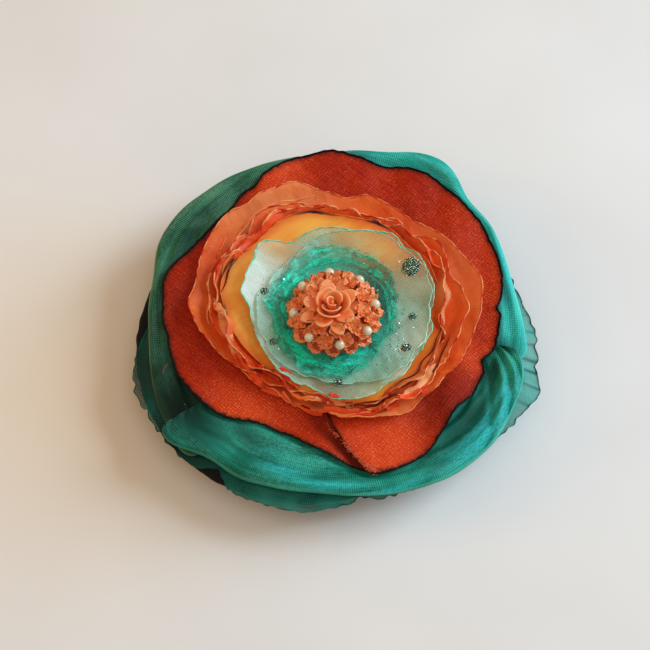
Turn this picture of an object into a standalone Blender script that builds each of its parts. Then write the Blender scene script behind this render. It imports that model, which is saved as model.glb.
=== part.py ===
"""A layered fabric flower on a sprung alligator hair clip.

The flower is a stack of cut fabric layers sewn through the middle, with a moulded resin cabochon
of small flowers and pearls glued on top. A felt disc backs it, and the clip is glued under the felt.

Frame: +Z up along the flower, -Y the front rim, origin at the bottom centre of the whole object's box.
Lengths below are in millimetres and MM turns them into metres.
"""

import math

import bmesh
import bpy
from mathutils import Vector

MM = 0.001
GAP = 0.3

# ---- Centres of the stacked pieces, in plan (mm) ----
CABOCHON_CENTRE = (-0.3, -2.1)
NET_CENTRE = CABOCHON_CENTRE
MINT_CENTRE = (-0.3, -1.6)
GOLD_CENTRE = (-0.3, -0.6)
PETAL_CENTRE = (-0.3, 1.4)
FELT_CENTRE = (-7.3, -4.6)

# ---- How the whole stack rises towards the back rim ----
BACK_RISE = 4.5
RISE_RADIUS = 45.0
RISE_SHARPNESS = 2.2

# ---- Felt backing ----
FELT_RADIUS = 42.0
FELT_BOTTOM = 8.8
FELT_THICKNESS = 1.2

# ---- Flat fabric layers: rim radius every 30 degrees from +X, anticlockwise ----
FRILL_RADII = (49.5, 46.0, 46.0, 45.5, 46.0, 48.0, 49.5, 51.0, 50.0, 48.5, 48.5, 51.0)
RUST_RADII = (41.5, 44.5, 45.0, 45.0, 41.5, 40.0, 42.5, 40.5, 34.5, 38.0, 42.5, 39.5)
ORANGE_RADII = (36.0, 35.0, 32.5, 33.0, 36.0, 37.0, 35.5, 28.5, 26.5, 28.0, 31.5, 32.5)
GOLD_RADII = (26.0, 27.0, 27.5, 27.5, 28.5, 29.0, 27.0, 23.0, 21.5, 24.0, 25.5, 26.5)
MINT_RADII = (23.5, 25.5, 25.0, 23.5, 22.5, 24.0, 21.0, 19.5, 20.0, 22.5, 23.0, 23.0)
NET_RADII = (15.0, 17.0, 18.5, 18.5, 17.5, 17.0, 15.5, 15.0, 16.5, 16.5, 15.0, 14.0)
SEGMENTS = 36
RING_SHARES = (0.4, 0.64, 0.84, 1.0)

# name, centre, rim radii, radius scale, height at the middle, thickness, flat radius, cupping, material
LAYERS = (
    ("organza_frill", PETAL_CENTRE, FRILL_RADII, 1.0, 10.3, 0.25, 9.0, 0.0, "teal_organza"),
    ("rust_petal_layer", PETAL_CENTRE, RUST_RADII, 1.0, 13.6, 0.35, 9.0, 0.0, "rust_silk"),
    ("orange_organza_lower", PETAL_CENTRE, ORANGE_RADII, 1.0, 14.4, 0.3, 9.0, 0.0015, "orange_organza"),
    ("orange_organza_middle", PETAL_CENTRE, ORANGE_RADII, 0.88, 15.1, 0.3, 9.0, 0.0021, "orange_organza"),
    ("orange_organza_upper", PETAL_CENTRE, ORANGE_RADII, 0.81, 15.8, 0.3, 9.0, 0.0032, "orange_organza"),
    ("gold_satin_layer", GOLD_CENTRE, GOLD_RADII, 1.0, 16.5, 0.3, 9.0, 0.005, "gold_satin"),
    ("mint_organza_lower", MINT_CENTRE, MINT_RADII, 1.0, 17.2, 0.25, 9.0, 0.018, "mint_organza"),
    ("mint_organza_upper", MINT_CENTRE, MINT_RADII, 0.93, 17.9, 0.25, 9.0, 0.0185, "mint_organza"),
    ("teal_net_lower", NET_CENTRE, NET_RADII, 1.0, 18.6, 0.2, 10.0, 0.024, "teal_net"),
    ("teal_net_upper", NET_CENTRE, NET_RADII, 0.86, 19.15, 0.2, 10.0, 0.026, "teal_net"),
)

# ---- Folded organza petals: first and last azimuth (degrees) and rim radii along the arc ----
FOLDED_PETALS = (
    ("teal_petal_left", 220.0, 96.0, (50.0, 46.5, 46.0, 49.0, 46.0, 45.5)),
    ("teal_petal_right", 102.0, -14.0, (45.5, 47.0, 50.0, 47.5, 46.0, 46.5)),
    ("teal_petal_front", 351.0, 214.0, (48.5, 50.0, 50.0, 47.5, 46.5, 48.0, 50.0)),
)
PETAL_INNER_RADIUS = 4.5
PETAL_BOTTOM = 10.9
PETAL_LAP = 1.1
PETAL_FOLD_THICKNESS = 0.45
PETAL_PUFF = 1.2

# ---- Threads ----
GATHER_RADIUS = 3.6
GATHER_HEIGHT = 11.5
THREAD_RADIUS = 0.2
STITCH_SPAN = 4.4
STITCH_ROWS = {"stitch_back": 7.4, "stitch_front": -7.8}
STITCH_TOP = 19.85
STITCH_BOTTOM = 8.2

# ---- Cabochon, from its axis outwards: radius and height above its flat back ----
CABOCHON_BOTTOM = 20.4
CABOCHON_PROFILE = (
    (10.6, 0.0),
    (11.0, 0.8),
    (10.6, 2.2),
    (9.4, 3.7),
    (7.4, 4.7),
    (6.3, 5.2),
    (5.9, 6.6),
    (4.8, 7.8),
    (3.0, 8.7),
)
CABOCHON_TOP = 9.0
CLUSTER_LOBES = 12
CLUSTER_LOBE_DEPTH = 0.2
GLUE_DISC = (4.0, 19.75, 0.35)

PEARL_COUNT = 8
PEARL_RADIUS = 1.2
PEARL_RING_RADIUS = 9.8
PEARL_HEIGHT = 3.4
PEARL_FIRST_ANGLE = 7.0

# ---- Dots of glitter glue on the upper mint layer: x, y, radius ----
GLITTER_DOTS = (
    (18.4, 10.6, 2.1),
    (-17.4, 5.0, 0.9),
    (18.6, -2.2, 0.9),
    (16.8, -10.6, 1.1),
    (0.6, -19.6, 1.0),
    (-15.0, -8.6, 1.0),
)
GLITTER_THICKNESS = 0.45
GLITTER_CLEARANCE = 0.6

# ---- Alligator clip, along X ----
CLIP_HALF_WIDTH = 4.75
CLIP_SHEET = 0.8
UPPER_ARM_BOTTOM = 6.9
UPPER_ARM_ENDS = (-28.0, 29.0)
PIVOT = (-9.0, 5.0)
PIN_RADIUS = 0.7
PIN_CLEARANCE = 0.1
RIVET_HEAD_RADIUS = 1.15
RIVET_HEAD_THICKNESS = 0.4
EAR_RADIUS = 1.5
EAR_SHEET = 0.7
UPPER_EAR_INNER = 4.05
LOWER_EAR_INNER = 2.95
LOWER_ARM_HALF_WIDTH = 4.5
LOWER_ARM_LINE = (
    (-29.0, 0.38),
    (-26.0, 0.38),
    (-22.0, 0.95),
    (-15.5, 1.95),
    (-9.0, 2.65),
    (-3.0, 2.3),
    (3.0, 1.0),
    (8.5, 0.38),
    (14.5, 0.38),
    (19.0, 1.6),
    (24.0, 3.9),
    (28.5, 6.0),
)
TOOTH_COUNT = 5
TEETH_ENDS = (21.5, 27.5)
TOOTH_DEPTH = 0.7
GLUE_PAD = (-24.0, 26.0, 3.6, 8.0, 0.5)

SPRING_WIRE_RADIUS = 0.28
SPRING_COIL_RADIUS = 1.2
SPRING_TURNS = 5.5
SPRING_HALF_LENGTH = 2.3
SPRING_LEG_END = -17.0
SPRING_LOWER_LEG_HEIGHT = 2.8
STEPS_PER_TURN = 12

COLOURS = {
    "black_felt": ((0.012, 0.012, 0.014), 0.95, 0.0),
    "teal_organza": ((0.02, 0.3, 0.24), 0.5, 0.0),
    "rust_silk": ((0.42, 0.045, 0.012), 0.6, 0.0),
    "orange_organza": ((0.62, 0.13, 0.03), 0.5, 0.0),
    "gold_satin": ((0.75, 0.28, 0.05), 0.35, 0.0),
    "mint_organza": ((0.55, 0.68, 0.6), 0.5, 0.0),
    "teal_net": ((0.0, 0.4, 0.28), 0.6, 0.0),
    "coral_resin": ((0.78, 0.2, 0.08), 0.3, 0.0),
    "ivory_pearl": ((0.86, 0.8, 0.66), 0.2, 0.0),
    "glitter_glue": ((0.12, 0.25, 0.18), 0.3, 0.4),
    "clear_glue": ((0.8, 0.78, 0.7), 0.3, 0.0),
    "black_thread": ((0.015, 0.015, 0.015), 0.9, 0.0),
    "nickel_steel": ((0.62, 0.62, 0.6), 0.25, 1.0),
}


def clear_scene():
    for obj in list(bpy.data.objects):
        bpy.data.objects.remove(obj, do_unlink=True)


def material(name):
    found = bpy.data.materials.get(name)
    if found:
        return found
    colour, roughness, metallic = COLOURS[name]
    made = bpy.data.materials.new(name)
    made.use_nodes = True
    shader = made.node_tree.nodes["Principled BSDF"]
    shader.inputs["Base Color"].default_value = (*colour, 1.0)
    shader.inputs["Roughness"].default_value = roughness
    shader.inputs["Metallic"].default_value = metallic
    return made


def add_object(name, verts, faces, material_name, origin=(0.0, 0.0, 0.0), smooth=True):
    """An object from vertices in millimetres, with its origin at origin, also in millimetres."""
    start = Vector(origin)
    mesh = bpy.data.meshes.new(name)
    mesh.from_pydata([(Vector(v) - start) * MM for v in verts], [], faces)
    bm = bmesh.new()
    bm.from_mesh(mesh)
    bmesh.ops.recalc_face_normals(bm, faces=bm.faces)
    bm.to_mesh(mesh)
    bm.free()
    if smooth:
        mesh.shade_smooth()
        mesh.set_sharp_from_angle(angle=math.radians(40.0))
    mesh.materials.append(material(material_name))
    obj = bpy.data.objects.new(name, mesh)
    obj.location = start * MM
    bpy.context.scene.collection.objects.link(obj)
    return obj


def as_tool(obj):
    """Keeps a helper solid out of the model: it only shapes another piece."""
    obj.hide_render = True
    obj.display_type = "WIRE"
    return obj


def combine(obj, tool, operation):
    modifier = obj.modifiers.new(tool.name, "BOOLEAN")
    modifier.operation = operation
    modifier.object = as_tool(tool)


def cubic(a, b, c, d, t):
    """Catmull-Rom interpolation between b and c."""
    return b + 0.5 * t * (c - a + t * (2 * a - 5 * b + 4 * c - d + t * (3 * (b - c) + d - a)))


def around(values, angle):
    """A smooth closed curve through values spaced evenly round a full turn."""
    count = len(values)
    place = angle / math.tau * count
    first = math.floor(place)
    a, b, c, d = (values[(first + k) % count] for k in (-1, 0, 1, 2))
    return cubic(a, b, c, d, place - first)


def along(values, share):
    """A smooth open curve through values spaced evenly from share 0 to share 1."""
    last = len(values) - 1
    first = min(int(share * last), last - 1)
    a, b, c, d = (values[min(max(first + k, 0), last)] for k in (-1, 0, 1, 2))
    return cubic(a, b, c, d, share * last - first)


def stack_rise(x, y):
    """How far every fabric layer is lifted at a place, most at the back rim."""
    dx, dy = x - PETAL_CENTRE[0], y - PETAL_CENTRE[1]
    radius = math.hypot(dx, dy)
    facing = 0.5 + 0.5 * dy / max(radius, 1e-6)
    return BACK_RISE * facing**RISE_SHARPNESS * (radius / RISE_RADIUS) ** 2


def layer_height(layer, x, y):
    """Underside of a flat fabric layer: lifted with the stack and cupped towards its own rim."""
    _, centre, _, _, middle, _, flat_radius, cupping, _ = layer
    beyond = max(0.0, math.hypot(x - centre[0], y - centre[1]) - flat_radius)
    return middle + stack_rise(x, y) + cupping * beyond**2


def fabric_layer(layer):
    """A closed disc with a wavy outline, one fan of triangles at its middle and rings of quads outside."""
    name, centre, radii, scale, _, thickness, _, _, material_name = layer
    verts = []
    faces = []
    for lift in (0.0, thickness):
        verts.append((*centre, layer_height(layer, *centre) + lift))
        for ring_share in RING_SHARES:
            for k in range(SEGMENTS):
                angle = math.tau * k / SEGMENTS
                radius = around(radii, angle) * scale * ring_share
                x = centre[0] + radius * math.cos(angle)
                y = centre[1] + radius * math.sin(angle)
                verts.append((x, y, layer_height(layer, x, y) + lift))
    rings = len(RING_SHARES)
    side = 1 + rings * SEGMENTS
    for k in range(SEGMENTS):
        after = (k + 1) % SEGMENTS
        for start in (0, side):
            faces.append((start, start + 1 + k, start + 1 + after))
            for ring in range(rings - 1):
                inner = start + 1 + ring * SEGMENTS
                outer = inner + SEGMENTS
                faces.append((inner + k, outer + k, outer + after, inner + after))
        rim = 1 + (rings - 1) * SEGMENTS
        faces.append((rim + k, rim + after, side + rim + after, side + rim + k))
    return add_object(name, verts, faces, material_name)


def folded_petal(name, first, last, radii):
    """One folded petal: a wedge of the ring, puffed towards its outer fold, one end lapped over the next."""
    steps = 18
    bands = 4
    verts = []
    for side in (0, 1):
        for i in range(steps + 1):
            share = i / steps
            angle = math.radians(first + (last - first) * share)
            rim = along(radii, share)
            for j in range(bands + 1):
                out = j / bands
                radius = PETAL_INNER_RADIUS + (rim - PETAL_INNER_RADIUS) * out
                x = PETAL_CENTRE[0] + radius * math.cos(angle)
                y = PETAL_CENTRE[1] + radius * math.sin(angle)
                puff = PETAL_PUFF * math.sin(math.pi * share) * math.sin(math.pi * out**3)
                lift = (PETAL_FOLD_THICKNESS + puff) * side
                verts.append((x, y, PETAL_BOTTOM + stack_rise(x, y) + PETAL_LAP * share + lift))
    row = bands + 1
    top = row * (steps + 1)
    faces = []
    for i in range(steps):
        for j in range(bands):
            corner = i * row + j
            quad = (corner, corner + 1, corner + row + 1, corner + row)
            faces.append(quad)
            faces.append(tuple(top + v for v in quad))
        for edge in (0, bands):
            a = i * row + edge
            faces.append((a, a + row, top + a + row, top + a))
    for i in (0, steps):
        for j in range(bands):
            a = i * row + j
            faces.append((a, a + 1, top + a + 1, top + a))
    return add_object(name, verts, faces, "teal_organza")


def disc(name, centre, radius, bottom, thickness, material_name, segments=48):
    """A plain round slab."""
    ring = [math.tau * k / segments for k in range(segments)]
    verts = []
    for z in (bottom, bottom + thickness):
        verts += [(centre[0] + radius * math.cos(a), centre[1] + radius * math.sin(a), z) for a in ring]
    faces = [tuple(range(segments)), tuple(range(segments, 2 * segments))]
    for k in range(segments):
        after = (k + 1) % segments
        faces.append((k, after, segments + after, segments + k))
    return add_object(name, verts, faces, material_name)


def stacked_rings(segments, rings):
    """Faces between a lowest point, rings of vertices above it and a highest point."""
    last = 1 + (rings - 1) * segments
    faces = []
    for k in range(segments):
        after = (k + 1) % segments
        faces.append((0, 1 + after, 1 + k))
        faces.append((last + k, last + after, last + segments))
        for ring in range(rings - 1):
            low = 1 + ring * segments
            high = low + segments
            faces.append((low + k, low + after, high + after, high + k))
    return faces


def turned(name, profile, tip, place, material_name, segments, wobble):
    """A solid turned about Z: a flat back, a profile of (radius, height) and a point at height tip."""
    verts = [place]
    for level, (radius, height) in enumerate(profile):
        for k in range(segments):
            angle = math.tau * k / segments
            reach = radius + wobble(angle, level)
            x = place[0] + reach * math.cos(angle)
            y = place[1] + reach * math.sin(angle)
            verts.append((x, y, place[2] + height))
    verts.append((place[0], place[1], place[2] + tip))
    faces = stacked_rings(segments, len(profile))
    return add_object(name, verts, faces, material_name, origin=place)


def ball(name, centre, radius, material_name, segments, rings):
    """A sphere of rings from its lowest point to its highest."""
    verts = [(centre[0], centre[1], centre[2] - radius)]
    for ring in range(1, rings):
        polar = math.pi * ring / rings
        for k in range(segments):
            angle = math.tau * k / segments
            x = centre[0] + radius * math.sin(polar) * math.cos(angle)
            y = centre[1] + radius * math.sin(polar) * math.sin(angle)
            verts.append((x, y, centre[2] - radius * math.cos(polar)))
    verts.append((centre[0], centre[1], centre[2] + radius))
    faces = stacked_rings(segments, rings - 1)
    return add_object(name, verts, faces, material_name, origin=centre)


def side_prism(name, outline, near, far, material_name, origin=(0.0, 0.0, 0.0)):
    """An (x, z) outline pushed along Y from near to far."""
    count = len(outline)
    verts = [(x, near, z) for x, z in outline] + [(x, far, z) for x, z in outline]
    faces = [tuple(range(count)), tuple(range(count, 2 * count))]
    for k in range(count):
        after = (k + 1) % count
        faces.append((k, after, count + after, count + k))
    return add_object(name, verts, faces, material_name, origin)


def plan_prism(name, outline, bottom, top, material_name):
    """An (x, y) outline pushed along Z from bottom to top."""
    count = len(outline)
    verts = [(x, y, bottom) for x, y in outline] + [(x, y, top) for x, y in outline]
    faces = [tuple(range(count)), tuple(range(count, 2 * count))]
    for k in range(count):
        after = (k + 1) % count
        faces.append((k, after, count + after, count + k))
    return add_object(name, verts, faces, material_name)


def rounded_strip(start, end, half_width, corner, steps=6):
    """Plan outline of a strip along X with rounded corners."""
    outline = []
    for cx, cy, first in (
        (end - corner, half_width - corner, 0.0),
        (start + corner, half_width - corner, 0.5 * math.pi),
        (start + corner, corner - half_width, math.pi),
        (end - corner, corner - half_width, 1.5 * math.pi),
    ):
        for k in range(steps + 1):
            angle = first + 0.5 * math.pi * k / steps
            outline.append((cx + corner * math.cos(angle), cy + corner * math.sin(angle)))
    return outline


def wire(name, points, radius, material_name, closed=False):
    """A round wire along points, with its ends capped."""
    curve = bpy.data.curves.new(name, "CURVE")
    curve.dimensions = "3D"
    curve.bevel_depth = radius * MM
    curve.bevel_resolution = 2
    curve.use_fill_caps = not closed
    spline = curve.splines.new("POLY")
    spline.points.add(len(points) - 1)
    for point, place in zip(spline.points, points):
        point.co = (place[0] * MM, place[1] * MM, place[2] * MM, 1.0)
    spline.use_cyclic_u = closed
    spline.use_smooth = True
    curve.materials.append(material(material_name))
    obj = bpy.data.objects.new(name, curve)
    bpy.context.scene.collection.objects.link(obj)
    return obj


def needle_holes():
    """Upright rods where the two stitches pass through the fabric layers."""
    tools = []
    for stitch, y in STITCH_ROWS.items():
        for side in (1, -1):
            centre = (PETAL_CENTRE[0] + side * STITCH_SPAN / 2, y)
            name = f"{stitch}_hole_{side}"
            rod = disc(name, centre, THREAD_RADIUS + GAP, FELT_BOTTOM - 2.0, 14.0, "black_thread", 8)
            tools.append(as_tool(rod))
    return tools


def build_stitches():
    """Two closed loops of thread that hold the layers together, one behind the middle and one in front."""
    left = PETAL_CENTRE[0] - STITCH_SPAN / 2
    right = PETAL_CENTRE[0] + STITCH_SPAN / 2
    for name, y in STITCH_ROWS.items():
        corners = ((left, STITCH_BOTTOM), (right, STITCH_BOTTOM), (right, STITCH_TOP), (left, STITCH_TOP))
        wire(name, [(x, y, z) for x, z in corners], THREAD_RADIUS, "black_thread", closed=True)


def build_fabric():
    holes = needle_holes()
    felt = disc("felt_backing", FELT_CENTRE, FELT_RADIUS, FELT_BOTTOM, FELT_THICKNESS, "black_felt")
    pieces = [felt] + [fabric_layer(layer) for layer in LAYERS]
    pieces += [folded_petal(*petal) for petal in FOLDED_PETALS]
    for piece in pieces:
        for hole in holes:
            combine(piece, hole, "DIFFERENCE")
    loop = []
    for k in range(24):
        angle = math.tau * k / 24
        x = PETAL_CENTRE[0] + GATHER_RADIUS * math.cos(angle)
        y = PETAL_CENTRE[1] + GATHER_RADIUS * math.sin(angle)
        loop.append((x, y, GATHER_HEIGHT))
    wire("gathering_thread", loop, THREAD_RADIUS, "black_thread", closed=True)
    build_stitches()


def build_cabochon():
    place = (*CABOCHON_CENTRE, CABOCHON_BOTTOM)

    def lobes(angle, level):
        return CLUSTER_LOBE_DEPTH * math.cos(CLUSTER_LOBES * angle) if 0 < level < 5 else 0.0

    body = turned("cabochon", CABOCHON_PROFILE, CABOCHON_TOP, place, "coral_resin", 48, lobes)
    for k in range(PEARL_COUNT):
        angle = math.radians(PEARL_FIRST_ANGLE) + math.tau * k / PEARL_COUNT
        centre = (
            CABOCHON_CENTRE[0] + PEARL_RING_RADIUS * math.cos(angle),
            CABOCHON_CENTRE[1] + PEARL_RING_RADIUS * math.sin(angle),
            CABOCHON_BOTTOM + PEARL_HEIGHT,
        )
        ball(f"pearl_{k + 1}", centre, PEARL_RADIUS, "ivory_pearl", 12, 8)
        socket = ball(f"pearl_socket_{k + 1}", centre, PEARL_RADIUS + GAP, "coral_resin", 12, 8)
        combine(body, socket, "DIFFERENCE")
    radius, bottom, thickness = GLUE_DISC
    disc("cabochon_glue", CABOCHON_CENTRE, radius, bottom, thickness, "clear_glue", 24)


def build_glitter_dots():
    """Low domes of dried glue, just clear of the upper mint layer and following its slope."""
    layer = next(item for item in LAYERS if item[0] == "mint_organza_upper")
    segments = 12
    for number, (cx, cy, radius) in enumerate(GLITTER_DOTS, 1):
        verts = []
        for level, reach in ((0.0, 1.0), (0.6, 0.9)):
            for k in range(segments):
                angle = math.tau * k / segments
                x = cx + radius * reach * math.cos(angle)
                y = cy + radius * reach * math.sin(angle)
                base = layer_height(layer, x, y) + layer[5] + GLITTER_CLEARANCE
                verts.append((x, y, base + level * GLITTER_THICKNESS))
        base = layer_height(layer, cx, cy) + layer[5] + GLITTER_CLEARANCE
        verts += [(cx, cy, base), (cx, cy, base + GLITTER_THICKNESS)]
        faces = []
        for k in range(segments):
            after = (k + 1) % segments
            faces.append((k, after, segments + after, segments + k))
            faces.append((2 * segments, after, k))
            faces.append((2 * segments + 1, segments + k, segments + after))
        add_object(f"glitter_dot_{number}", verts, faces, "glitter_glue")


def ear_outline(root_left, root_right, root_height):
    """A tab that runs from a strip at root_height to a round end about the pivot."""
    side = math.copysign(1.0, root_height - PIVOT[1])
    outline = [(root_left, root_height), (root_right, root_height)]
    for k in range(9):
        angle = -side * math.pi * k / 8
        outline.append((PIVOT[0] + EAR_RADIUS * math.cos(angle), PIVOT[1] + EAR_RADIUS * math.sin(angle)))
    return outline


def pin_hole():
    ring = [math.tau * k / 24 for k in range(24)]
    radius = PIN_RADIUS + PIN_CLEARANCE
    outline = [(PIVOT[0] + radius * math.cos(a), PIVOT[1] + radius * math.sin(a)) for a in ring]
    return as_tool(side_prism("pin_hole", outline, -8.0, 8.0, "nickel_steel"))


def build_upper_arm(hole):
    """The arm glued under the felt: a flat strip with two ears that carry the hinge pin."""
    top = UPPER_ARM_BOTTOM + CLIP_SHEET
    outline = rounded_strip(*UPPER_ARM_ENDS, CLIP_HALF_WIDTH, 3.0)
    arm = plan_prism("clip_upper_arm", outline, UPPER_ARM_BOTTOM, top, "nickel_steel")
    ear = ear_outline(PIVOT[0] - 4.2, PIVOT[0] + 4.2, UPPER_ARM_BOTTOM + 0.4)
    for side in (1, -1):
        near, far = sorted((side * UPPER_EAR_INNER, side * (UPPER_EAR_INNER + EAR_SHEET)))
        combine(arm, side_prism(f"upper_ear_{side}", ear, near, far, "nickel_steel"), "UNION")
    combine(arm, hole, "DIFFERENCE")


def lower_arm_middle(share):
    xs = [point[0] for point in LOWER_ARM_LINE]
    zs = [point[1] for point in LOWER_ARM_LINE]
    return along(xs, share), along(zs, share)


def lower_arm_outline():
    """Side outline of the bent strip: its middle line offset by half the sheet's thickness each way."""
    steps = 3 * (len(LOWER_ARM_LINE) - 1)
    upper = []
    lower = []
    for k in range(steps + 1):
        share = k / steps
        x, z = lower_arm_middle(share)
        x0, z0 = lower_arm_middle(max(share - 0.002, 0.0))
        x1, z1 = lower_arm_middle(min(share + 0.002, 1.0))
        length = math.hypot(x1 - x0, z1 - z0)
        nx, nz = -(z1 - z0) / length, (x1 - x0) / length
        half = CLIP_SHEET / 2
        upper.append((x + nx * half, z + nz * half))
        lower.append((x - nx * half, max(z - nz * half, 0.0)))
    return upper + lower[::-1]


def tooth_outline():
    """One toothed side wall at the jaw's tip: a saw edge that meets the upper arm when the jaw is shut."""
    start, end = TEETH_ENDS
    crest = UPPER_ARM_BOTTOM - GAP - 0.05
    pitch = (end - start) / TOOTH_COUNT
    outline = [(start, 2.75), (end, 5.5)]
    for k in range(TOOTH_COUNT):
        right = end - k * pitch
        outline.append((right - 0.15 * pitch, crest))
        outline.append((right - 0.85 * pitch, crest - TOOTH_DEPTH))
    return outline


def build_lower_arm(hole):
    """The moving arm: thumb lever at one end, curved toothed jaw at the other, turning on the pin."""
    origin = (PIVOT[0], 0.0, PIVOT[1])
    half = LOWER_ARM_HALF_WIDTH
    arm = side_prism("clip_lower_arm", lower_arm_outline(), -half, half, "nickel_steel", origin)
    ear = ear_outline(PIVOT[0] - 2.6, PIVOT[0] + 2.6, 2.6)
    for side in (1, -1):
        near, far = sorted((side * LOWER_EAR_INNER, side * (LOWER_EAR_INNER + EAR_SHEET)))
        combine(arm, side_prism(f"lower_ear_{side}", ear, near, far, "nickel_steel"), "UNION")
        near, far = sorted((side * (half - EAR_SHEET), side * half))
        combine(arm, side_prism(f"jaw_teeth_{side}", tooth_outline(), near, far, "nickel_steel"), "UNION")
    combine(arm, hole, "DIFFERENCE")


def build_pin():
    """A rivet: a shaft through all four ears with a head outside each outer ear."""
    reach = UPPER_EAR_INNER + EAR_SHEET + GAP
    stations = (
        (-reach - RIVET_HEAD_THICKNESS, RIVET_HEAD_RADIUS - 0.25),
        (-reach - 0.15, RIVET_HEAD_RADIUS),
        (-reach, RIVET_HEAD_RADIUS),
        (-reach, PIN_RADIUS),
        (reach, PIN_RADIUS),
        (reach, RIVET_HEAD_RADIUS),
        (reach + 0.15, RIVET_HEAD_RADIUS),
        (reach + RIVET_HEAD_THICKNESS, RIVET_HEAD_RADIUS - 0.25),
    )
    segments = 24
    verts = []
    for y, radius in stations:
        for k in range(segments):
            angle = math.tau * k / segments
            verts.append((PIVOT[0] + radius * math.cos(angle), y, PIVOT[1] + radius * math.sin(angle)))
    faces = [tuple(range(segments)), tuple(range(len(verts) - segments, len(verts)))]
    for station in range(len(stations) - 1):
        for k in range(segments):
            after = (k + 1) % segments
            a = station * segments
            b = a + segments
            faces.append((a + k, a + after, b + after, b + k))
    add_object("clip_hinge_pin", verts, faces, "nickel_steel", origin=(PIVOT[0], 0.0, PIVOT[1]))


def build_spring():
    """A torsion spring round the pin, with one leg under the upper arm and one on the thumb lever."""
    px, pz = PIVOT
    points = [(SPRING_LEG_END, -SPRING_HALF_LENGTH, pz + SPRING_COIL_RADIUS)]
    steps = round(SPRING_TURNS * STEPS_PER_TURN)
    for k in range(steps + 1):
        angle = 0.5 * math.pi - math.tau * k / STEPS_PER_TURN
        y = SPRING_HALF_LENGTH * (2 * k / steps - 1)
        x = px + SPRING_COIL_RADIUS * math.cos(angle)
        points.append((x, y, pz + SPRING_COIL_RADIUS * math.sin(angle)))
    points.append((SPRING_LEG_END, SPRING_HALF_LENGTH, SPRING_LOWER_LEG_HEIGHT))
    wire("clip_spring", points, SPRING_WIRE_RADIUS, "nickel_steel")


def build_clip():
    hole = pin_hole()
    build_upper_arm(hole)
    build_lower_arm(hole)
    build_pin()
    build_spring()
    start, end, half_width, bottom, thickness = GLUE_PAD
    outline = rounded_strip(start, end, half_width, 2.0, 4)
    plan_prism("clip_glue_pad", outline, bottom, bottom + thickness, "clear_glue")


def main():
    clear_scene()
    build_fabric()
    build_cabochon()
    build_glitter_dots()
    build_clip()


main()
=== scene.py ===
"""A layered fabric flower hair clip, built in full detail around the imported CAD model.

Lengths are in millimetres and MM turns them into metres. The frame is the CAD's: +Z up along the
flower, -Y its front rim, and the origin at the bottom centre of the whole object. Tables give
azimuths in degrees, anticlockwise from +X, and the code works in radians.
"""

import math

import bpy
import numpy as np
from mathutils import Matrix, Vector
from mathutils.bvhtree import BVHTree


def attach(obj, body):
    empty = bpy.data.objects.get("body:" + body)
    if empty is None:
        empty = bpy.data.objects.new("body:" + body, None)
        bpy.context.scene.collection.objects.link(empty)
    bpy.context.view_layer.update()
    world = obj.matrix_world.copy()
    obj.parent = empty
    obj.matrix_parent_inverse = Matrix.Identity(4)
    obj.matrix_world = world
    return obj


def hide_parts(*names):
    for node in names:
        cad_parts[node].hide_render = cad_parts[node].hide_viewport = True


MM = 0.001
TAU = math.tau

# ---- Centres of the stacked pieces, in plan, and the heights that several pieces share ----
CABOCHON_CENTRE = (-0.3, -2.1)
CABOCHON_BOTTOM = 20.4
MINT_CENTRE = (-0.3, -1.6)
GOLD_CENTRE = (-0.3, -0.6)
PETAL_CENTRE = (-0.3, 1.4)
FELT_CENTRE = (-7.3, -4.6)
FELT_RADIUS = 42.0
RUST_BOTTOM = 13.6
RUST_THICKNESS = 0.35

# ---- The lapped dart at the front of the rust layer ----
DART_AZIMUTH = 263.0
DART_SLANT = 1.25
DART_START = 26.0

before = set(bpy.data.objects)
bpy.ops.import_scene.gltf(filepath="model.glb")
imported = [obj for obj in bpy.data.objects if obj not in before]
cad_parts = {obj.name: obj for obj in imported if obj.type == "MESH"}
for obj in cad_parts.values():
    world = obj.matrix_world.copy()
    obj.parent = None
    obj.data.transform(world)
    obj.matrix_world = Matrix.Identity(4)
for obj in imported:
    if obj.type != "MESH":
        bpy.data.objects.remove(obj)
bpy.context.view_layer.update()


# ======================================================================== numbers and noise


def srgb(red, green, blue):
    """A linear colour from the 0 to 255 values that a paint chart gives."""
    shares = (value / 255.0 for value in (red, green, blue))
    return (*(s / 12.92 if s <= 0.04045 else ((s + 0.055) / 1.055) ** 2.4 for s in shares), 1.0)


def step(low, high, value):
    """0 below low, 1 above high, smooth between."""
    share = np.clip((np.asarray(value, float) - low) / (high - low), 0.0, 1.0)
    return share * share * (3.0 - 2.0 * share)


def through(values, first, place):
    """A smooth curve through four neighbours, first being the one just before place."""
    a, b, c, d = (values(first + k) for k in (-1, 0, 1, 2))
    t = place - first
    return b + 0.5 * t * (c - a + t * (2 * a - 5 * b + 4 * c - d + t * (3 * (b - c) + d - a)))


def around(values, angle):
    """A smooth closed curve through values spaced evenly round a full turn."""
    values = np.asarray(values, float)
    place = np.asarray(angle, float) / TAU * len(values)
    return through(lambda k: values[k % len(values)], np.floor(place).astype(int), place)


def along(values, share):
    """A smooth open curve through values spaced evenly from share 0 to share 1."""
    values = np.asarray(values, float)
    last = len(values) - 1
    place = np.asarray(share, float) * last
    first = np.minimum(place.astype(int), last - 1)
    return through(lambda k: values[np.clip(k, 0, last)], first, place)


def ring_wave(angle, seed, first, last):
    """An irregular closed wave with first to last crests round a full turn, mostly -1 to 1."""
    rng = np.random.default_rng(seed)
    total = np.zeros_like(np.asarray(angle, float))
    power = 0.0
    for count in range(first, last + 1):
        size = rng.uniform(0.4, 1.0)
        total = total + size * np.sin(count * angle + rng.uniform(0.0, TAU))
        power += size * size
    return 0.5 * total / math.sqrt(power / 2.0)


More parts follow.
